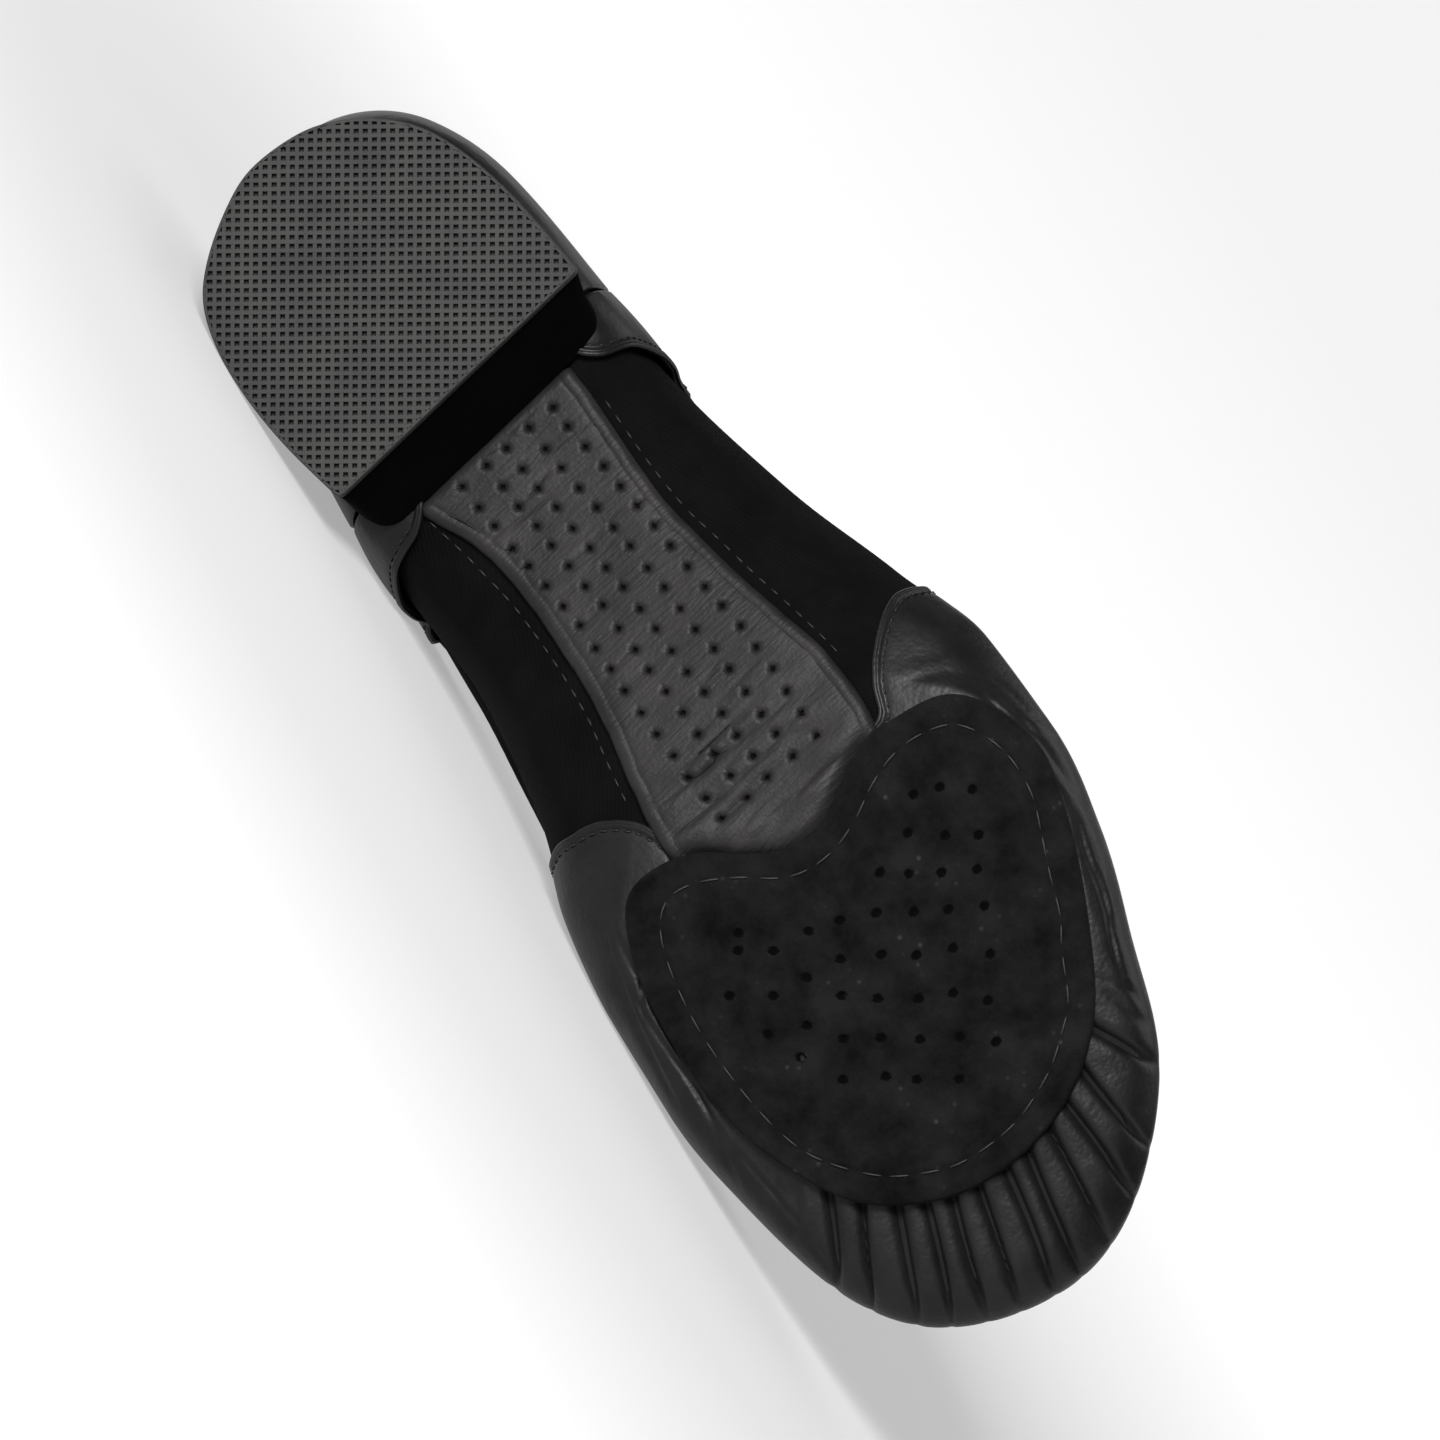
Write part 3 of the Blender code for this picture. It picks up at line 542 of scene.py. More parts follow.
# Rolled fold of a leather edge: a ring of eight points carried along the edge, flatter than
# it is wide.
def rolledEdge(name, curves, radius, finish, slot):
    points, faces, start = [], [], 0
    around = np.arange(8) * math.pi / 4
    for path, normals, lift in curves:
        side = unit(np.cross(unit(np.gradient(path, axis=0)), normals))
        taper = np.clip(np.arange(len(path)) / 3, 0.15, 1) * np.clip(np.arange(len(path))[::-1] / 3, 0.15, 1)
        ring = (side[:, None] * np.cos(around)[:, None] + 0.8 * normals[:, None] * np.sin(around)[:, None])
        tube = (path + normals * lift * mm)[:, None] + ring * (radius * mm * taper)[:, None, None]
        points.append(tube.reshape(-1, 3))
        made = gridFaces(len(path), 8, wrap=True, start=start)
        faces += made[:, ::-1].tolist()
        faces += [list(range(start, start + 8)),
                  list(range(start + 8 * len(path) - 8, start + 8 * len(path)))[::-1]]
        start += 8 * len(path)
    return finishPiece(makeObject(name, np.vstack(points), faces, finish), slot)


# Profile of a folded, stitched edge by the distance from it: a bead, the sewn groove, the flat.
def foldLift(distance, height=1.0):
    return np.interp(distance, [0, 0.10, 0.30, 0.55, 0.85, 1.1, 1.35, 1.6, 2.2, 3.2],
                     [-0.75, -0.15, 0.16, 0.20, 0.06, -0.12, -0.20, -0.14, -0.03, 0]) * height


# Plain rounded cut edge, for seams: the drop falls with the square of the distance.
def cutLift(distance, drop=0.7):
    return -drop * np.clip(1 - distance / 0.55, 0, 1) ** 2


vamp = {
    # folded back edge: x as a share of the length, height over the forefoot as a share of the
    # instep height
    "edge": [(0.601, -0.300), (0.601, 0.013), (0.576, 0.032), (0.552, 0.050), (0.540, 0.075),
             (0.531, 0.116), (0.529, 0.200), (0.534, 0.331), (0.534, 0.480), (0.525, 0.667),
             (0.511, 0.854), (0.491, 1.041), (0.470, 1.250)],
    "skew": math.radians(3),
    "thickness": 0.9 * mm,
    # dark: how strongly the pleat troughs are darkened with painted shade
    "pleat": {"depth": 1.60, "width": 0.58, "hollow": 0.45, "ridge": 0.75, "top": 4.3, "fadeRings": 1.4,
              "dark": 0.35},
    # pleats drawn in round the toe, from the sole's edge outwards: x, y, x, y in the view, mm
    "pleats": [(208.5, 28.5, 221, 35), (214, 23.5, 233, 26), (217.5, 18, 239, 19), (219.8, 13.2, 241, 11.3),
               (220.6, 8, 243, 4.2), (221, 3.2, 244, -1.5), (221, -2.4, 243, -8), (220, -7.2, 242, -14),
               (218.4, -11.6, 239, -19.6), (216, -16, 236, -24.6), (212.6, -21, 230, -30),
               (208.4, -25.2, 223, -33.2)],
    "soft": [(203, -28.3, 212, -35.5, 0.45, 1.0), (205, 33.5, 216, 38.5, 0.35, 0.9),
             (203, 35.5, 211, 39, 0.25, 0.7), (198, -29.5, 205, -36.5, 0.2, 0.9)],
    # long flexing creases: x, y, x, y, depth, half width
    "creases": [(146, -30, 200, -37.5, 0.36, 0.6), (150, -33.5, 182, -39.2, 0.40, 0.6),
                (158, -33.8, 198, -35.6, 0.30, 0.5), (147, -26.5, 166, -35.5, 0.28, 0.5),
                (190, -33.8, 222, -32.2, 0.28, 0.5), (150, 44.5, 166, 51.6, 0.34, 0.6),
                (148, 47.5, 162, 52.3, 0.32, 0.6), (154, 47.5, 178, 50.3, 0.40, 0.7),
                (176, 47.5, 200, 40.8, 0.30, 0.6), (186, 44.8, 206, 38.2, 0.34, 0.6),
                (150, 40, 160, 50, 0.22, 0.6), (140, 33, 147, 47, 0.16, 1.0)],
}
edgeCurve = through([(x * last["length"], last["fore"] + z * last["heights"][4]) for x, z in vamp["edge"]],
                    6, closed=False)
# the same edge under the foot, where it curls in beside the strip: across and along the view, mm
curls = {-1: np.array([(20, 145.5), (27, 144.8), (28.7, 143.8), (30.3, 139), (33, 135), (36.3, 131.7),
                       (39.7, 129.2),
                       (42.3, 128.4), (45, 129), (60, 133)]),
         1: np.array([(9, 144.5), (13, 144.2), (14.2, 142.8), (15, 140), (17, 136), (19.7, 133.7),
                      (22.7, 132),
                      (25.7, 131.4), (29, 132), (60, 134)])}
curlRange = {-1: (41.0, 47.0), 1: (25.0, 31.0)}


def vampEdge(y, z):
    wall = np.interp(z, edgeCurve[:, 1], edgeCurve[:, 0]) + math.tan(vamp["skew"]) * y
    edge = wall
    for side, curl in curls.items():
        beside = np.where(side * y > 0, np.abs(y) / mm + 0.07 * z / mm * -side, 0)
        under = (np.interp(beside, curl[:, 0], curl[:, 1]) + 1.5 - 0.176 * z / mm) * mm
        begin, done = curlRange[side]
        share = np.clip((beside - begin) / (done - begin), 0, 1)
        share = np.maximum(share, np.clip((z / mm - 12) / 6, 0, 1))
        edge = np.where(side * y > 0, under * (1 - share) + wall * share, edge)
    return edge


# Where view places lie by a line: along it, as a share of its length, and across it in mm.
def besideLine(x, y, ax, ay, bx, by):
    reach = math.hypot(bx - ax, by - ay)
    dx, dy = (bx - ax) / reach, (by - ay) / reach
    return ((x - ax) * dx + (y - ay) * dy) / reach, dx * (y - ay) - dy * (x - ax)


# Lift of pleats and creases at a view place, in mm, with how deep in a pleat it lies, from 0 to 1,
# which darkens the troughs with painted shade. A pleat is a narrow trough in a wide hollow, with a ridge
# beside it that dies away over 2 mm, so the row reads as a saw tooth. A crease is a shallow groove with a low
# ridge.
def drape(x, y, level):
    lift, shade, pleat = np.zeros_like(x), np.zeros_like(x), vamp["pleat"]
    low = np.clip((pleat["top"] - level) / pleat["fadeRings"], 0, 1)
    for n, line in enumerate(vamp["pleats"]):
        along, across = besideLine(x, y, *line)
        across = across + 0.35 * math.sin(2.1 * n) * np.sin(np.clip(along, 0, 1) * math.pi)
        fade = np.clip((along + 0.35) / 0.3, 0, 1) * np.clip((1.35 - along) / 0.55, 0, 1)
        depth = pleat["depth"] + 0.30 * math.sin(1.7 * n)
        wide = pleat["width"] + 0.12 * math.sin(2.9 * n + 1)
        trough = (-depth * np.exp(-np.abs(across / wide) ** 1.35)
                  - pleat["hollow"] * np.exp(-(across / 1.5) ** 2))
        # painted shade along the middle of each pleat trough
        shade = np.maximum(shade, np.exp(-(across / (1.25 * wide)) ** 4) * fade * low)
        ridge = np.where(across > 0, pleat["ridge"] * (1 - np.exp(-across / 0.45)) * np.exp(-across / 2.2), 0)
        lift += (trough + ridge) * fade * low
    for ax, ay, bx, by, depth, width in vamp["soft"] + vamp["creases"]:
        along, across = besideLine(x, y, ax, ay, bx, by)
        across = across + 0.5 * np.sin(along * 5 + ax)
        fade = np.sin(np.clip(along, 0, 1) * math.pi) ** 0.8
        lift += (-depth * np.exp(-(across / width) ** 2)
                 + 0.4 * depth * np.exp(-((across - 1.6 * width) / width) ** 2)) * fade * low
    return lift, shade


# Slow unevenness of soft leather over the foot: the products of a few crossing waves, in mm.
def undulate(points, size):
    x, y, z = np.moveaxis(points, -1, 0) / mm
    return size * (np.sin(x / 9.5 + y / 14) * np.sin(y / 11 - z / 13 + 1)
                   + 0.6 * np.sin(x / 5.3 - z / 7.1 + 2)
                   * np.sin(y / 6.7 + x / 17))


edgeMarks = [0, 0.10, 0.22, 0.36, 0.55, 0.75, 0.95, 1.15, 1.35, 1.6, 1.9, 2.4, 3.0]
vampLevels = inRuns((1, 1.9, 7), (1.9, 2.6, 24), (2.6, 3.1, 9), (3.1, 4, 14), (4, 5, 9), (5, 9.27, 26))
vampAngles, toInner, toOuter = panelAngles(vampLevels, crossing(vampLevels, 1, vampEdge),
                                           crossing(vampLevels, -1, vampEdge), 0, edgeMarks, edgeMarks,
                                           core=(1.18, 372, 42))
flatPoints, flatNormals = skin(vampLevels, vampAngles)
viewX, viewY = toView(flatPoints)
# Distances from the folded edge are measured in space, because the edge curls across the rows.
toEdge = np.minimum(toInner, toOuter)
trim = {}
for column, span in ((0, slice(0, 62)), (-1, slice(-62, None))):
    path, normals = evenPath(flatPoints[:, column], flatNormals[:, column], 0.8)
    trim[column] = path, normals
    block = flatPoints[:, span].reshape(-1, 3)
    away = np.concatenate([np.linalg.norm(part[:, None] - path, axis=2).min(axis=1)
                           for part in np.array_split(block, 8)]) / mm
    toEdge[:, span] = np.minimum(toEdge[:, span], away.reshape(len(vampLevels), -1))
fold = foldLift(toEdge)
rows = vampLevels[:, None] + 0 * viewX
drapeLift, pleatShade = drape(viewX, viewY, rows)
vampLift = (drapeLift * np.clip(toEdge / 3, 0, 1) + fold
            + undulate(flatPoints, 0.16) * np.clip(toEdge / 6, 0, 1))
vampGrid, _ = skin(vampLevels, vampAngles, vampLift * mm)
# the pleat troughs are darkened with painted shade in the leather's colour
finishPiece(sheetObject("vamp", [vampGrid], leather, vamp["thickness"], flip=True,
                        painted_shades=[vamp["pleat"]["dark"] * pleatShade]), "leather", "upper")
toeCentre = lastPoints(np.array([4.0]), np.array([0.0]))[0, 0]
rolledEdge("vamp_folded_edges", [(*trim[column], -0.12) for column in trim], 0.50, leather, "leather")
for path, normals in trim.values():
    row = besidePath(path, normals, 1.45, toeCentre)
    sew("edge_stitches", row, normals, 2.3, sink=-0.02, radius=0.17)
print("vamp made")


heelLeather = {"seam": 0.0560, "front": 0.0663, "lean": math.radians(17), "lift": 1.4, "thickness": 0.9 * mm,
               "turnIn": 0.9, "turnLevel": 8.0}


def seamEdge(y, z):
    return heelLeather["seam"] + math.tan(last["breastSkew"]) * y


def quarterEdge(y, z):
    under = np.clip((0.0225 - np.abs(y)) / 0.005, 0, 1)     # the folded edge ends behind the block
    return (heelLeather["front"] + math.tan(heelLeather["lean"]) * (z - last["seat"])
            + math.tan(last["breastSkew"]) * y - 0.0045 * under ** 1.5)


heelLevels = inRuns((0.9, 2, 6), (2, 4, 22), (4, 9.24, 40))
seams = {side: crossing(heelLevels, side, seamEdge) for side in (1, -1)}
fronts = {side: crossing(heelLevels, side, quarterEdge) for side in (1, -1)}
seamMarks = [0, 0.12, 0.28, 0.5, 0.8, 1.2, 1.8, 2.6]
innerGap = 0.0026                       # half the seam's opening, as an angle
counterAngles, a, b = panelAngles(heelLevels, seams[1] + innerGap, 2 * math.pi + seams[-1] - innerGap,
                                  190, seamMarks, seamMarks)
counterFlat, _ = skin(heelLevels, counterAngles)
turning = np.clip((heelLevels - heelLeather["turnLevel"]) / (heelLevels[-1] - heelLeather["turnLevel"]), 0, 1)
# the leather turns in under the topline
turnedIn = heelLeather["lift"] - heelLeather["turnIn"] * turning[:, None] ** 2
counterLift = turnedIn + cutLift(np.minimum(a, b)) + undulate(counterFlat, 0.12)
counterGrid, _ = skin(heelLevels, counterAngles, counterLift * mm)
finishPiece(sheetObject("heel_counter_leather", [counterGrid], leather, heelLeather["thickness"]),
            "leather", "heel_counter")
quarterTrim = []
for side, name, node in ((1, "inner_quarter", "quarter_medial"), (-1, "outer_quarter", "quarter_lateral")):
    angles, a, b = panelAngles(heelLevels, fronts[side], seams[side] - side * innerGap, 26, edgeMarks,
                               seamMarks)
    puff = 0.35 * np.sin(np.clip(a / np.maximum(a + b, 1e-6), 0, 1) * math.pi)
    lift = turnedIn + foldLift(a, 1.25) + cutLift(b) + puff
    grid, _ = skin(heelLevels, angles, lift * mm)
    finishPiece(sheetObject(name, [grid], leather, heelLeather["thickness"], flip=side < 0), "leather", node)
    start = int(np.searchsorted(heelLevels, 1.3))
    edgePoints, edgeNormals = skin(heelLevels, angles, (turnedIn + 0 * a) * mm)
    path, pathNormals = evenPath(edgePoints[start:, 0], edgeNormals[start:, 0], 0.8)
    quarterTrim.append((path, pathNormals, -0.12))
    row = besidePath(path, pathNormals, 1.45, (0, 0, 0.03))
    sew("edge_stitches", row, pathNormals, 2.2, sink=-0.05, radius=0.17)
rolledEdge("quarter_folded_edges", quarterTrim, 0.52, leather, "leather")
print("heel leather made")


clothLook = {"lift": -0.6, "thickness": 0.6 * mm, "tuck": 0.028}
clothLevels = inRuns((0.5, 2, 16), (2, 4, 22), (4, 9.3, 44))
clothGrids = []
for side in (1, -1):
    begin = crossing(clothLevels, side, vampEdge) - side * clothLook["tuck"]
    finish = crossing(clothLevels, side, quarterEdge) + side * clothLook["tuck"]
    angles, a, b = panelAngles(clothLevels, begin, finish, 130, [0, 1.5, 3.0], [0, 1.0, 2.0])
    flatCloth, _ = skin(clothLevels, angles)
    swell = 0.30 * np.sin(np.clip(a / np.maximum(a + b, 1e-6), 0, 1) * math.pi) + undulate(flatCloth, 0.10)
    grid, _ = skin(clothLevels, angles, (clothLook["lift"] + swell) * mm)
    clothGrids.append(grid if side > 0 else grid[:, ::-1])
finishPiece(sheetObject("stretch_cloth", clothGrids, cloth, clothLook["thickness"],
                        uvs=[clothUv(grid) for grid in clothGrids]), "lining", "upper")
print("stretch cloth made")


# The rolled topline is a closed tube carried round the collar: level, lift and rise of its
# profile, in rings and mm.
topline = np.array([
    (9.18, -0.9, 0), (9.20, 0.05, 0), (9.24, 0.40, 0), (9.35, 0.62, 0), (9.55, 0.70, 0), (9.75, 0.66, 0),
    (9.92, 0.50, 0), (10.0, 0.22, 0.15), (10.0, -0.25, 0.50), (10.0, -0.80, 0.62), (10.0, -1.35, 0.45),
    (10.0, -1.80, 0.08), (9.92, -2.05, 0), (9.7, -2.15, 0), (9.45, -2.10, 0), (9.22, -1.95, 0),
    (9.16, -1.6, 0)])
rimAngles = np.arange(340) * 2 * math.pi / 340
ring, _ = skin(topline[:, 0], rimAngles, topline[:, 1] * mm, topline[:, 2] * mm)
ring = np.concatenate([ring, ring[:1]])
finishPiece(sheetObject("rolled_topline", [ring], leather, wrap=True), "leather", "upper")
liningLevels = inRuns((0, 2, 8), (2, 9.4, 44))
liningGrid, _ = skin(liningLevels, np.arange(200) * 2 * math.pi / 200, -last["wall"])
inside = sheetObject("inner_lining", [liningGrid], lining, wrap=True)
wall = inside.modifiers.new("wall", "SOLIDIFY")
wall.thickness, wall.offset = 0.45 * mm, 1
finishPiece(inside, "lining", "upper")
sock = np.array([(0.0, -4.1), (0.6, -4.1), (1.2, -4.1), (1.6, -4.1), (1.70, -4.0), (1.76, -3.7), (1.78, -3.1),
                 (1.76, -2.5), (1.70, -2.2), (1.6, -2.1), (1.2, -2.1), (0.6, -2.1), (0.0, -2.1)])
sockGrid, _ = skin(sock[:, 0], np.arange(160) * 2 * math.pi / 160, sock[:, 1] * mm)
finishPiece(sheetObject("insole_sock", [sockGrid], lining, wrap=True, flip=True), "lining", "insole")
print("topline, lining and insole made")


# Heights of the underside over a plan grid, read across the rings at each x.
plan = {"x": np.arange(0.050, 0.162, 0.0005), "y": np.arange(-0.036, 0.034, 0.0005)}
levels = np.linspace(0.02, 3.6, 60)
back, front = [smooth(np.arange(len(ringRows)), ringRows[:, k], levels)[:, None] for k in (0, 1)]
share = (plan["x"][None, :] / last["length"] - back) / (front - back)
sideAngle = np.arccos(np.clip(2 * share - 1, -1, 1))
outerRow, innerRow = lastPoints(levels, -sideAngle), lastPoints(levels, sideAngle)
plan["z"] = np.array([np.interp(plan["y"], np.concatenate([outerRow[::-1, k, 1], innerRow[:, k, 1]]),
                                np.concatenate([outerRow[::-1, k, 2], innerRow[:, k, 2]]))
                      for k in range(len(plan["x"]))])


# Height of the underside at plan places, halfway between its four nearest samples.
def underHeight(x, y):
    i = np.clip((x - plan["x"][0]) / 0.0005, 0, len(plan["x"]) - 1.001)
    j = np.clip((y - plan["y"][0]) / 0.0005, 0, len(plan["y"]) - 1.001)
    a, b = i.astype(int), j.astype(int)
    u, v = i - a, j - b
    z = plan["z"]
    return (z[a, b] * (1 - u) * (1 - v) + z[a + 1, b] * u * (1 - v) + z[a, b + 1] * (1 - u) * v
            + z[a + 1, b + 1] * u * v)


# Point on the underside seen at a view place (mm), lowered by a lift.
def fromView(places, lift=0.0):
    places = np.asarray(places, float)
    z = np.full(len(places), 10 * mm)
    for _ in range(4):
        x = (places[:, 0] + 1.5) * mm - 0.176 * z
        y = -places[:, 1] * mm + 0.07 * z
        z = underHeight(x, y)
    return np.stack([x, y, z - lift], axis=-1)


patch = {
    # outline, x as a share of the length and y of the ball width; the last rows are the notch
    "outline": [(0.599, -0.302), (0.603, -0.406), (0.619, -0.465), (0.648, -0.503), (0.679, -0.517),
                (0.713, -0.498), (0.758, -0.458), (0.821, -0.380), (0.857, -0.318), (0.887, -0.227),
                (0.906, -0.104), (0.909, 0.028), (0.897, 0.135), (0.871, 0.233), (0.833, 0.295),
                (0.783, 0.342), (0.727, 0.358), (0.664, 0.348), (0.619, 0.312), (0.597, 0.267),
                (0.593, 0.193), (0.601, 0.119), (0.621, 0.045), (0.635, -0.032), (0.632, -0.104),
                (0.613, -0.186), (0.600, -0.262)],
    "thickness": 2.0,
    "holes": [(159.5, 30), (163, 34.5), (170.2, 31), (158, 25.5), (167, 26.2), (175, 27.5), (181, 25),
              (163, 21), (172, 22), (178, 19.5), (188.5, 21.3), (169, 17.2), (175, 14.3), (184, 16.5),
              (195, 16.5), (166, 13.2), (171.5, 8.8), (181.5, 10.5), (190.5, 12.2), (197.5, 9),
              (201.7, 13.7), (178, 5.5), (188, 6.7), (169, 2.8), (184, 0.8), (194, 3), (203.5, 4.8),
              (174.7, -0.8), (190, -2.5), (199.5, -1.3), (167.5, -2.8), (180, -4.2), (196, -5.5),
              (167, -9.7), (174, -7.5), (186.5, -8), (163.5, -14.8), (161, -13), (173.5, -14), (181, -12),
              (192.3, -12), (178.5, -18.5), (169.2, -20.4), (185, -16)],
    "holeRadius": 0.72,
    "stitches": [(152, 38), (157, 41.5), (163, 43), (170, 42.5), (176, 40.3), (183, 37.5), (190, 35),
                 (195, 32), (203, 28), (207, 24), (211, 19), (214, 13), (215.6, 8), (216.2, 2),
                 (215.8, -4), (214, -9), (211.4, -14), (208, -18), (203, -22.2), (198, -25), (190, -27),
                 (180, -28), (170, -28), (160, -26.5), (153, -24), (149.4, -20), (149.8, -14.5), (153, -8),
                 (157.2, -2), (158.8, 3), (158.4, 9), (156, 15), (153, 20), (150.6, 26), (150.2, 32)],
    "stitchPitch": 5.2,
}
patchLine = through(np.array(patch["outline"]) * (last["length"], last["ball"]), 10, closed=True)


# Lowest and highest x at which a closed outline crosses each y.
def spanAt(outline, y):
    a, b = outline, np.roll(outline, -1, axis=0)
    y = np.atleast_1d(y)[:, None]
    hit = (a[:, 1] - y) * (b[:, 1] - y) <= 0
    rise = np.where(a[:, 1] == b[:, 1], 1e-12, b[:, 1] - a[:, 1])
    x = a[:, 0] + (y - a[:, 1]) / rise * (b[:, 0] - a[:, 0])
    return np.where(hit, x, np.inf).min(axis=1), np.where(hit, x, -np.inf).max(axis=1)


# Distance of plan points from a line of segments, worked out in blocks.
def distanceTo(line, points, closed=True):
    a = line if closed else line[:-1]
    b = np.roll(line, -1, axis=0) if closed else line[1:]
    step = b - a
    length2 = np.maximum((step ** 2).sum(axis=1), 1e-18)
    nearest = []
    for block in np.array_split(points, max(len(points) // 4000, 1)):
        away = block[:, None] - a
        part = np.clip((away * step).sum(axis=2) / length2, 0, 1)
        nearest.append(np.linalg.norm(away - part[..., None] * step, axis=2).min(axis=1))
    return np.concatenate(nearest)


# 1 inside round pinholes, falling to 0 over their soft rim. Distances in mm.
def pinholes(x, y, centres, radius, rim=0.24):
    depth = np.zeros_like(x)
    for cx, cy in centres:
        near = (np.abs(x - cx) < 2) & (np.abs(y - cy) < 2)
        away = np.hypot(x[near] - cx, y[near] - cy)
        depth[near] = np.maximum(depth[near], np.clip((radius + rim / 2 - away) / rim, 0, 1))
    return depth


strip = {
    "rows": [(0.200, -0.230, 0.350), (0.253, -0.234, 0.325), (0.278, -0.240, 0.293), (0.321, -0.241, 0.217),
             (0.363, -0.246, 0.186), (0.406, -0.273, 0.177), (0.448, -0.307, 0.176), (0.491, -0.350, 0.189),
             (0.533, -0.391, 0.215), (0.575, -0.402, 0.232), (0.600, -0.392, 0.232), (0.650, -0.360, 0.200)],
    "lift": 0.7, "thickness": 0.9 * mm, "holeRadius": 1.02, "holeDepth": 1.15, "backGap": 0.35,
    "overlap": 0.6,
    "holeStart": 68.5, "holePitch": 4.62, "holeCount": 17,
    "holeStations": (70, 100, 125, 141),
    "holeRows": [(11, 14.5, 17.3, 17.3), (5.5, 9, 11.2, 11.8), (0, 3.6, 5.3, 6.2),
                 (-4.5, -1.3, 0, 1.2), (-10, -6.4, -5.8, -4.5)],
    # cross creases: how many, between which places along the shoe, and from which to which depth
    "creases": [(9, 67, 86, 0.10, 0.26), (13, 124, 149, 0.16, 0.42), (12, 86, 126, 0.04, 0.12)],
    "rowsAlong": 345, "columnsAcross": 134,
}
stripX = np.array([row[0] for row in strip["rows"]]) * last["length"]
stripOuter = np.array([row[1] for row in strip["rows"]]) * last["waist"]
stripInner = np.array([row[2] for row in strip["rows"]]) * last["waist"]
borderShares = np.array([0, 0.12, 0.28, 0.5, 0.75, 1.0, 1.25, 1.5, 1.75, 2.1, 2.6])
across = strip["columnsAcross"]
s = np.linspace(0, 1, strip["rowsAlong"])[:, None] * np.ones(across)
x = 0.062 + 0.088 * s
for _ in range(3):
    outer, inner = smooth(stripX, stripOuter, x), smooth(stripX, stripInner, x)
    near = borderShares[None, :] * mm
    y = np.empty_like(x)
    y[:, :11] = outer[:, :11] + near
    y[:, -11:] = inner[:, -11:] - near[:, ::-1]
    middle = np.linspace(0, 1, across - 20)[1:-1]
    y[:, 11:-11] = (outer + 2.6 * mm)[:, 11:-11] + (inner - outer - 5.2 * mm)[:, 11:-11] * middle
    backEnd = last["blockFront"] + math.tan(last["breastSkew"]) * y + strip["backGap"] * mm
    samples = np.linspace(-0.032, 0.020, 200)
    notch = np.interp(y, samples, spanAt(patchLine, samples)[0])
    x = backEnd + (notch + strip["overlap"] * mm - backEnd) * s
z = underHeight(x, y)
viewX, viewY = toView(np.stack([x, y, z], axis=-1))
toSide = np.minimum(y - outer, inner - y) / mm
toNotch = (notch - x) / mm
centres = []
for n in range(strip["holeCount"]):
    for row in strip["holeRows"]:
        cx = strip["holeStart"] + strip["holePitch"] * n
        cy = np.interp(cx, strip["holeStations"], row)
        cx = cx - 0.13 * (cy - 3.0)
        if cx < 146.5:
            centres.append((cx + rng.normal(0, 0.12), cy + rng.normal(0, 0.12)))
stripPit = pinholes(viewX, viewY, centres, strip["holeRadius"]) * (toSide > 2.4)
# Cross creases: lines that wander over the strip, deepest by the heel and by the notch.
crease = np.zeros_like(viewX)
bands = [band for band in strip["creases"] for _ in range(band[0])]
for n, (_, first, final, shallow, deepest) in enumerate(bands):
    at, deep = rng.uniform(first, final), rng.uniform(shallow, deepest)
    middleY, halfY = rng.uniform(-6, 14), rng.uniform(4, 12)
    line = (at + rng.uniform(0.3, 1.0) * np.sin(viewY / rng.uniform(4, 8) + n)
            - 0.13 * viewY * rng.uniform(0.8, 1.4))
    thin = rng.uniform(0.45, 0.95)
    fade = np.clip(1 - np.abs(viewY - middleY) / halfY, 0, 1) ** 0.6
    crease -= deep * fade * (np.exp(-((viewX - line) / thin) ** 2)
                             - 0.45 * np.exp(-((viewX - line - 1.5 * thin) / (1.3 * thin)) ** 2))
uneven = toSide + 0.10 * np.sin(viewX / 1.3) * np.sin(viewX / 3.7 + 1)
border = np.interp(uneven, [0, 0.12, 0.30, 0.5, 0.9, 1.25, 1.5, 1.75, 2.1, 2.5],
                   [-1.0, -0.35, 0.02, 0.10, 0.11, 0.06, -0.04, -0.10, -0.05, 0])
bulge = 0.55 * np.exp(-((toNotch - 4.5) / 3.5) ** 2) - np.clip((2.4 - toNotch) / 2.4, 0, 1) ** 1.5 * 1.3
puckers = (np.clip((viewX - 122) / 14, 0, 1) * np.sin(viewX / 1.15 + 1.2 * np.sin(viewY / 4.3))
           * np.sin(viewY / 5 + 1))
lift = (strip["lift"] + border + bulge * np.clip(toSide / 4, 0, 1) ** 0.5 + crease * (toSide > 1.9)
        + 0.10 * np.sin(viewX / 3.1) * np.sin(viewY / 2.7) - strip["holeDepth"] * stripPit + 0.22 * puckers)
lift -= 0.6 * np.clip((1.2 - (x - backEnd) / mm) / 1.2, 0, 1) ** 2
stripGrid = np.stack([x, y, z - lift * mm], axis=-1)
stripUv = np.stack([x - math.tan(last["breastSkew"]) * y, y], axis=-1)
# the pinholes are sunk and also darkened with painted shade in the leather's colour
finishPiece(sheetObject("perforated_arch_strip", [stripGrid], perforated, strip["thickness"], flip=True,
                        painted_shades=[stripPit], uvs=[stripUv]), "perforated_leather", "arch_strip")
down = np.array([0.0, 0.0, -1.0])
for column in (8, -9):
    path = stripGrid[6:-10, column] + np.array([0, 0, -0.12 * mm])
    sew("strip_stitches", path, np.tile(down, (len(path), 1)), 2.7, share=0.66, radius=0.24)
seamStitches = [
    [(71, 19.2), (85, 19.5), (95, 20.4), (102, 22), (110, 23.7), (116, 25.2), (121, 26.4), (127, 27.7),
     (131, 28.4)],
    [(71, -18.4), (75, -17.4), (80, -16.2), (85, -15.3), (90, -14.4), (95, -13.9), (105, -13.6), (115, -14.1),
     (120, -14.9), (125, -15.8), (132, -16.8)],
]
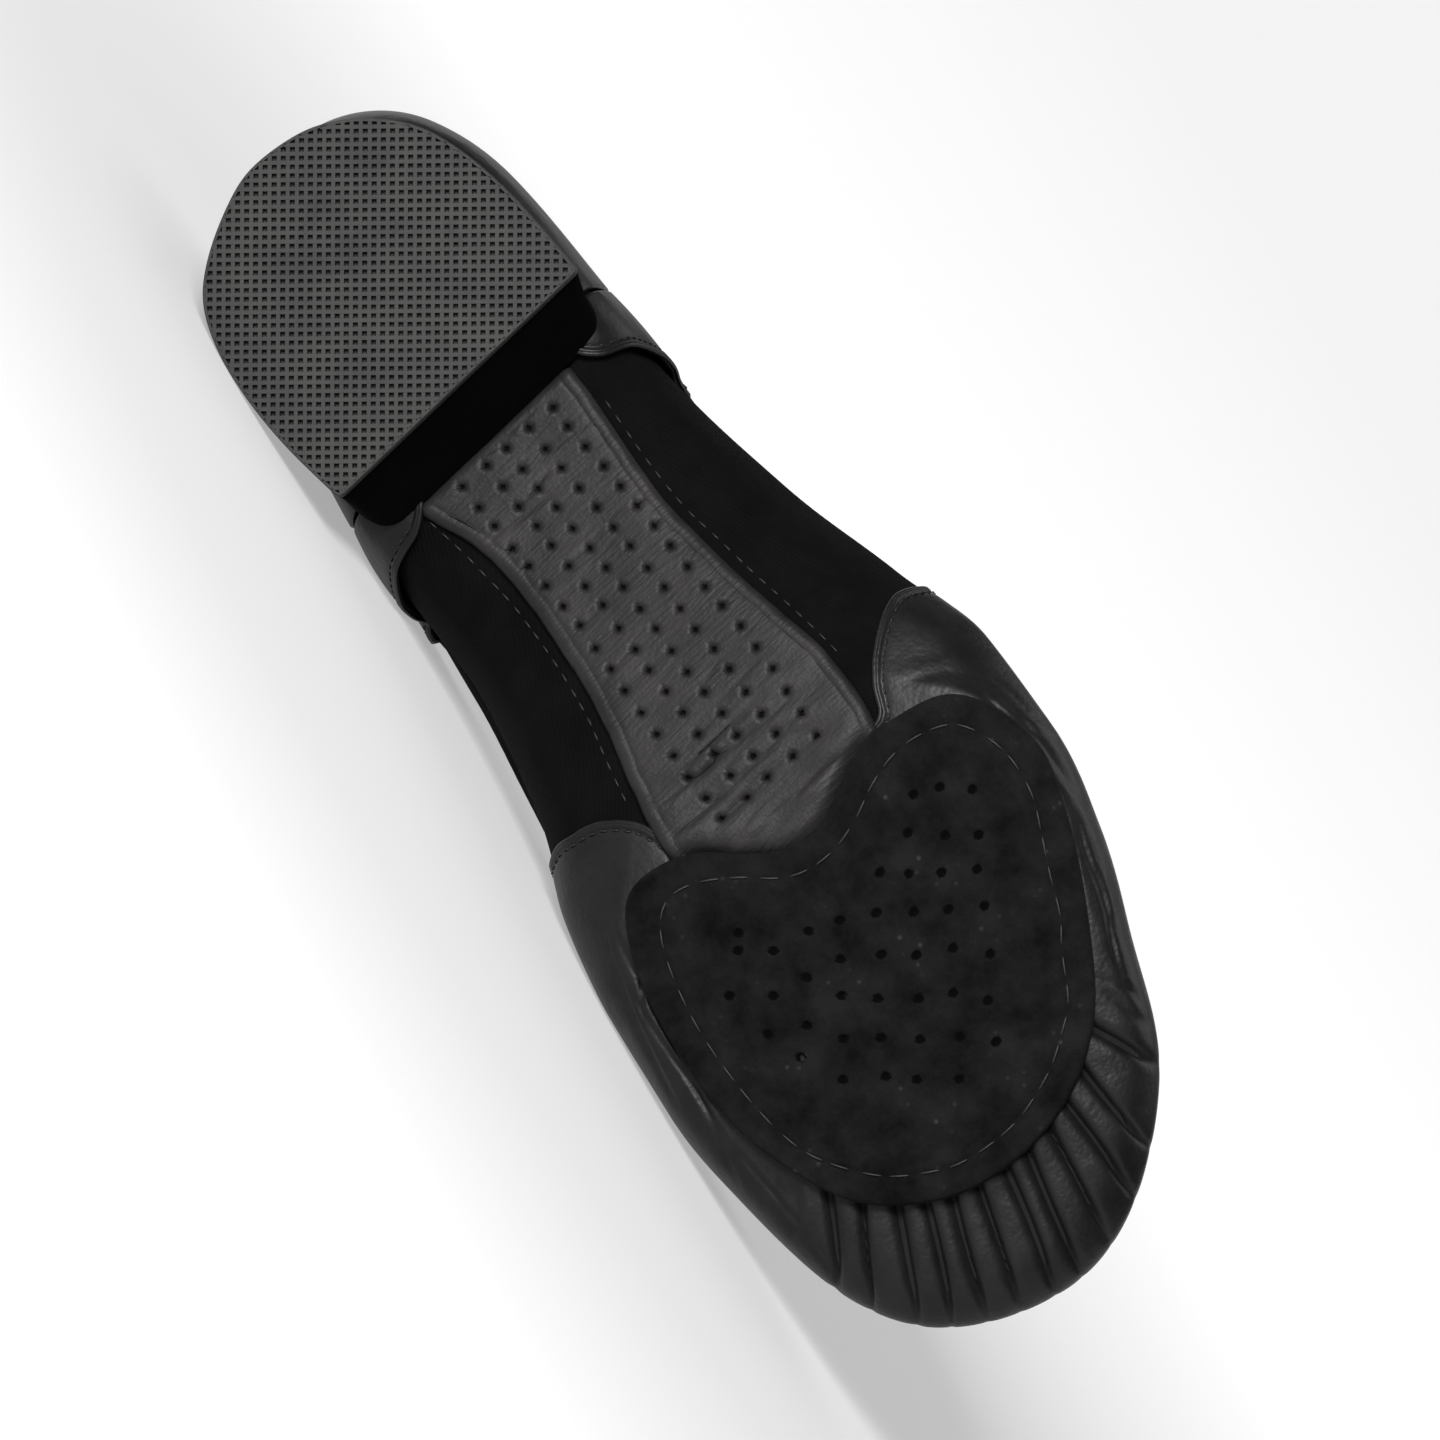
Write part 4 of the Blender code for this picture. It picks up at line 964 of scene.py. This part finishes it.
for row in seamStitches:
    path = fromView(through(row, 8, closed=False), lift=-0.22 * mm)
    sew("seam_stitches", path, np.tile(down, (len(path), 1)), 3.0, share=0.62, radius=0.17)
print("arch strip made,", len(centres), "pinholes")


yMiddle, yHalf = (patchLine[:, 1].max() + patchLine[:, 1].min()) / 2, np.ptp(patchLine[:, 1]) / 2
phase = np.linspace(-0.4985, 0.4985, 236) * math.pi
ys = yMiddle + yHalf * np.sin(phase)
back, front = spanAt(patchLine, ys)
marks = np.array([0, 0.05, 0.12, 0.22, 0.38, 0.6, 0.9, 1.3])
room = (front - back)[:, None]
edge = marks * mm * np.minimum(1, room / (6 * mm))
middle = np.linspace(0, 1, 214)[1:-1]
x = np.hstack([back[:, None] + edge, back[:, None] + edge[:, -1:] + (room - 2 * edge[:, -1:]) * middle,
               front[:, None] - edge[:, ::-1]])
y = np.repeat(ys[:, None], x.shape[1], axis=1)
inside = distanceTo(patchLine, np.stack([x.ravel(), y.ravel()], axis=-1)).reshape(x.shape) / mm
viewX, viewY = x / mm - 1.5, -y / mm
stitchLine = through(patch["stitches"], 8, closed=True)
toStitch = distanceTo(stitchLine, np.stack([viewX.ravel(), viewY.ravel()], axis=-1)).reshape(x.shape)
patchPit = pinholes(viewX, viewY, [(cx + 0.2, cy) for cx, cy in patch["holes"]], patch["holeRadius"], 0.34)
rimHeight = np.interp(inside, [0, 0.05, 0.15, 0.35, 0.7, 1.3], [1.95, 1.15, 0.55, 0.22, 0.06, 0])
height = (rimHeight + 0.28 * np.exp(-(toStitch / 0.55) ** 2) + 0.85 * patchPit
          - 0.10 * np.exp(-((inside - 2.6) / 1.2) ** 2)
          + 0.10 * (1 + np.sin(viewX / 6.3 + 1) * np.sin(viewY / 5.1)) * np.clip(inside / 3, 0, 1))
height = np.clip(height, 0.02, patch["thickness"] - 0.02)
patchGrid = np.stack([x, y, height * mm], axis=-1)
# the suede's pinholes are darkened with painted shade in its colour
patchPiece = sheetObject("suede_forefoot_patch", [patchGrid], suede, flip=True, painted_shades=[patchPit])
shape = bmesh.new()
shape.from_mesh(patchPiece.data)
rimEdges = [e for e in shape.edges if e.is_boundary]
made = bmesh.ops.extrude_edge_only(shape, edges=rimEdges)["geom"]
newVerts = [g for g in made if isinstance(g, bmesh.types.BMVert)]
bmesh.ops.translate(shape, verts=newVerts, vec=(axisZ * 0.05 * mm).tolist())
bmesh.ops.holes_fill(shape, edges=[e for e in shape.edges if e.is_boundary])
bmesh.ops.recalc_face_normals(shape, faces=shape.faces)
shape.to_mesh(patchPiece.data)
shape.free()
finishPiece(patchPiece, "suede", "forefoot_sole")
path = np.stack([(stitchLine[:, 0] + 1.5) * mm, -stitchLine[:, 1] * mm, 0 * stitchLine[:, 0] + 0.14 * mm],
                axis=-1)
sew("patch_stitches", path, np.tile(down, (len(path), 1)), patch["stitchPitch"], share=0.72, radius=0.20,
    closed=True)
print("forefoot patch made")


heel = {
    "pad": [(0.924, -0.454), (0.733, -0.434), (0.543, -0.409), (0.352, -0.363), (0.200, -0.294),
            (0.086, -0.186), (0.019, -0.066), (0.000, 0.050), (0.015, 0.182), (0.076, 0.294),
            (0.181, 0.417), (0.295, 0.498), (0.448, 0.538), (0.638, 0.546), (0.848, 0.528), (1.109, 0.483)],
    "length": 0.0525, "setback": 0.0030, "lean": 0.0085, "taper": 0.0016,
    "treadTop": 2.7, "blockLow": 3.0, "blockTop": 18.0,
    "pitLine": 1.54, "pitColumn": 1.60, "pitDepth": 1.3, "ribTop": 0.34, "ribFoot": 0.43,
}


# Heel outline, longer in front by a lean and narrower by a taper, closed by the straight
# breast, at even steps; the two corners are softened by repeated averaging near them.
def heelLoop(lean, taper, count, softening):
    points = np.array(heel["pad"]) * (heel["length"] + lean - taper, last["heel"] - 2 * taper)
    points[:, 0] += heel["setback"] + taper
    ahead = heel["setback"] + heel["length"] + lean
    for row in (0, -1):
        points[row, 0] = ahead + math.tan(last["breastSkew"]) * points[row, 1]
    line = through(points, 12, closed=False)
    corners = line[[0, -1]]
    line = np.vstack([line, line[:1]])
    run = runAlong(line)
    at = np.arange(count) / count * run[-1]
    loop = np.stack([np.interp(at, run, line[:, k]) for k in (0, 1)], axis=-1)
    close = np.min(np.linalg.norm(loop[:, None] - corners, axis=2), axis=1)
    weight = np.clip(2 - close / (0.004 + softening * 0.00005), 0, 1)[:, None]
    for _ in range(softening):
        loop = loop + weight * ((np.roll(loop, 1, 0) + np.roll(loop, -1, 0)) / 2 - loop) * 0.5
    return loop


def inset(loop, distance):
    along = unit(np.roll(loop, -1, axis=0) - np.roll(loop, 1, axis=0))
    normal = np.stack([along[:, 1], -along[:, 0]], axis=1)
    area = np.sum(loop[:, 0] * np.roll(loop[:, 1], -1) - loop[:, 1] * np.roll(loop[:, 0], -1))
    return loop - normal * distance * np.sign(area)


# Rings of a closed loop at given insets and heights (mm), capped at both ends.
def loopSolid(name, rings, finish, slot, node, extra=None):
    count = len(rings[0])
    points = np.vstack(rings)
    faces = gridFaces(len(rings), count, wrap=True).tolist()
    faces += [list(range(count))[::-1], list(range((len(rings) - 1) * count, len(rings) * count))]
    if extra is not None:
        faces += (extra[1] + len(points)).tolist()
        points = np.vstack([points, extra[0]])
    thing = makeObject(name, points, faces, finish, smoothShade=False)
    shape = bmesh.new()
    shape.from_mesh(thing.data)
    bmesh.ops.recalc_face_normals(shape, faces=shape.faces)
    shape.to_mesh(thing.data)
    shape.free()
    return finishPiece(thing, slot, node)


def atHeight(loop, z):
    return np.column_stack([loop, np.full(len(loop), z * mm)])


padLoop = heelLoop(0, 0, 300, 3)
treadRings = [atHeight(padLoop, heel["treadTop"]), atHeight(padLoop, 0.35),
              atHeight(inset(padLoop, 0.10 * mm), 0.10),
              atHeight(inset(padLoop, 0.25 * mm), 0.0), atHeight(inset(padLoop, 0.55 * mm), 0.0),
              atHeight(inset(padLoop, 0.70 * mm), heel["pitDepth"])]
# Ribs of the tread run along the two axes of the photograph, from edge to edge of the pad.
ribLoop = inset(padLoop, 0.45 * mm) / mm
ribPoints, ribFaces = [], []
boxFaces = np.array([(0, 1, 2, 3), (7, 6, 5, 4), (0, 4, 5, 1), (1, 5, 6, 2), (2, 6, 7, 3), (3, 7, 4, 0)])
for along, pitch, top in (((0.555, -0.832), heel["pitLine"], 0.0), ((0.832, 0.555), heel["pitColumn"], 0.04)):
    along = np.array(along)
    beside = np.array((-along[1], along[0]))
    p, q = ribLoop @ beside, ribLoop @ along
    nextP, nextQ = np.roll(p, -1), np.roll(q, -1)
    for c in np.arange(math.ceil(p.min() / pitch), math.floor(p.max() / pitch) + 1) * pitch:
        hit = (p - c) * (nextP - c) < 0
        if hit.sum() < 2:
            continue
        ends = q[hit] + (c - p[hit]) / (nextP[hit] - p[hit]) * (nextQ[hit] - q[hit])
        lowEnd, highEnd = ends.min(), ends.max()
        corners = []
        for half, z in ((heel["ribFoot"], heel["pitDepth"] + 0.1), (heel["ribTop"], top)):
            for end, side in ((lowEnd, -1), (highEnd, -1), (highEnd, 1), (lowEnd, 1)):
                spot = along * end + beside * (c + side * half)
                corners.append((spot[0] * mm, spot[1] * mm, z * mm))
        ribFaces.append(boxFaces + 8 * len(ribPoints))
        ribPoints.append(corners)
ribs = (np.array(ribPoints).reshape(-1, 3), np.vstack(ribFaces))
loopSolid("pitted_heel_tread", treadRings, rubber, "tread_rubber", "heel_tread", ribs)
blockRings = []
lowLoop, highLoop = heelLoop(0, 0, 300, 6), heelLoop(heel["lean"], heel["taper"], 300, 90)
for part, draw in ((0, 0.35), (0.02, 0.10), (0.05, 0), (0.25, 0.18), (0.5, 0.28), (0.75, 0.2), (0.95, 0),
                   (0.985, 0.1),
                   (1, 0.35)):
    loop = lowLoop + (highLoop - lowLoop) * part
    blockRings.append(atHeight(inset(loop, draw * mm),
                               heel["blockLow"] + (heel["blockTop"] - heel["blockLow"]) * part))
block = loopSolid("foam_heel_block", blockRings, foam, "heel_foam", "heel_block")
block.data.polygons.foreach_set("use_smooth", [len(p.vertices) == 4 for p in block.data.polygons])
print("heel made")

makeStitches("edge_stitches", darkThread, "leather")
makeStitches("strip_stitches", darkThread, "leather")
makeStitches("seam_stitches", greyThread, "leather")
makeStitches("patch_stitches", greyThread, "leather")
print("stitches made")


# glow: the paper's own emission near and far from the shoe, a painted light that is dimmer by the shoe as
# painted shade
studio = {"glow": (0.38, 0.74), "reach": (0.16, 0.60), "paper": "#bcbcbc", "radius": 4.0, "wall": 1.2,
          "world": 0.06}
rows = [(0.0, 0.0), (1.0, 0.0), (2.0, 0.0), (3.0, 0.0), (3.5, 0.12), (3.9, 0.6),
        (studio["radius"], studio["wall"])]
turns = np.arange(72) * math.pi / 36
bowl = np.array([[(r * math.cos(t), r * math.sin(t), z) for t in turns] for r, z in rows])
mesh = bpy.data.meshes.new("studio_floor")
mesh.from_pydata(bowl.reshape(-1, 3).tolist(), [], gridFaces(len(rows), 72, wrap=True).tolist())
mesh.polygons.foreach_set("use_smooth", [True] * len(mesh.polygons))
floor = bpy.data.objects.new("studio_floor", mesh)
bpy.context.scene.collection.objects.link(floor)
paper, tree, shader = newFinish("glowing_studio_paper", {"Roughness": 0.9, "Specular IOR Level": 0.1})
shader.inputs["Emission Color"].default_value = (1, 1, 1, 1)
at = addNode(tree, "ShaderNodeTexCoord").outputs["Object"]
cloud = addNode(tree, "ShaderNodeTexNoise", {"Vector": at, "Scale": 1.5})
# the paper glows as if lit from behind: painted light, dimmer near the shoe as a painted shade and brighter
# away from it
far = addNode(tree, "ShaderNodeVectorMath", {0: at}, operation="LENGTH").outputs["Value"]
(near, beyond), (dim, bright) = studio["reach"], studio["glow"]
glow = addNode(tree, "ShaderNodeMapRange", {"Value": far, "From Min": near, "From Max": beyond, "To Min": dim,
                                            "To Max": bright})
tree.links.new(glow.outputs[0], shader.inputs["Emission Strength"])
tree.links.new(blend(tree, cloud.outputs["Fac"], "#b0b0b0", studio["paper"]), shader.inputs["Base Color"])
mesh.materials.append(paper)

world = bpy.data.worlds.new("studio_air")
world.use_nodes = True
world.node_tree.nodes["Background"].inputs["Color"].default_value = (1, 1, 1, 1)
world.node_tree.nodes["Background"].inputs["Strength"].default_value = studio["world"]
bpy.context.scene.world = world


def softbox(name, spot, aim, size, power):
    lamp = bpy.data.lights.new(name, "AREA")
    lamp.shape, lamp.size, lamp.energy = "SQUARE", size, power
    thing = bpy.data.objects.new(name, lamp)
    bpy.context.scene.collection.objects.link(thing)
    thing.location = spot
    thing.rotation_euler = (Vector(aim) - Vector(spot)).to_track_quat("-Z", "Y").to_euler()


softbox("camera_side", (-0.45, -1.6, 0.75), (0, 0, 0.04), 0.6, 45)
softbox("overhead", (0.1, 0.9, 1.6), (0, 0, 0.0), 1.4, 8)

# The camera stands 3 m off, almost square to the sole, and is rolled so that the shoe lies
# across the picture as photographed. Its pitch, yaw and roll are measured from the standing shoe.
photo = {"aim": (0.13009, -0.00471, 0.0), "pitch": 7.45, "yaw": 3.19, "roll": 55.93, "distance": 3.0,
         "lens": 432.7}
camera = bpy.data.cameras.new("camera")
camera.sensor_width, camera.lens = 36, photo["lens"]
viewer = bpy.data.objects.new("camera", camera)
bpy.context.scene.collection.objects.link(viewer)
pitch, yaw, roll = [math.radians(photo[key]) for key in ("pitch", "yaw", "roll")]
toward = unit(np.array([math.sin(pitch), -math.sin(yaw), -1.0]))
right = np.array([math.cos(roll), -math.sin(roll), 0.0])
right = unit(right - toward * right.dot(toward))
above = np.cross(toward, right)
axes = np.stack([right, above, toward]) @ turn
spot = place(np.array(photo["aim"]) + toward * photo["distance"])
viewer.matrix_world = Matrix([[*axes[:, k], spot[k]] for k in range(3)] + [[0, 0, 0, 1]])
bpy.context.scene.camera = viewer
bpy.context.scene.view_settings.view_transform = "Standard"
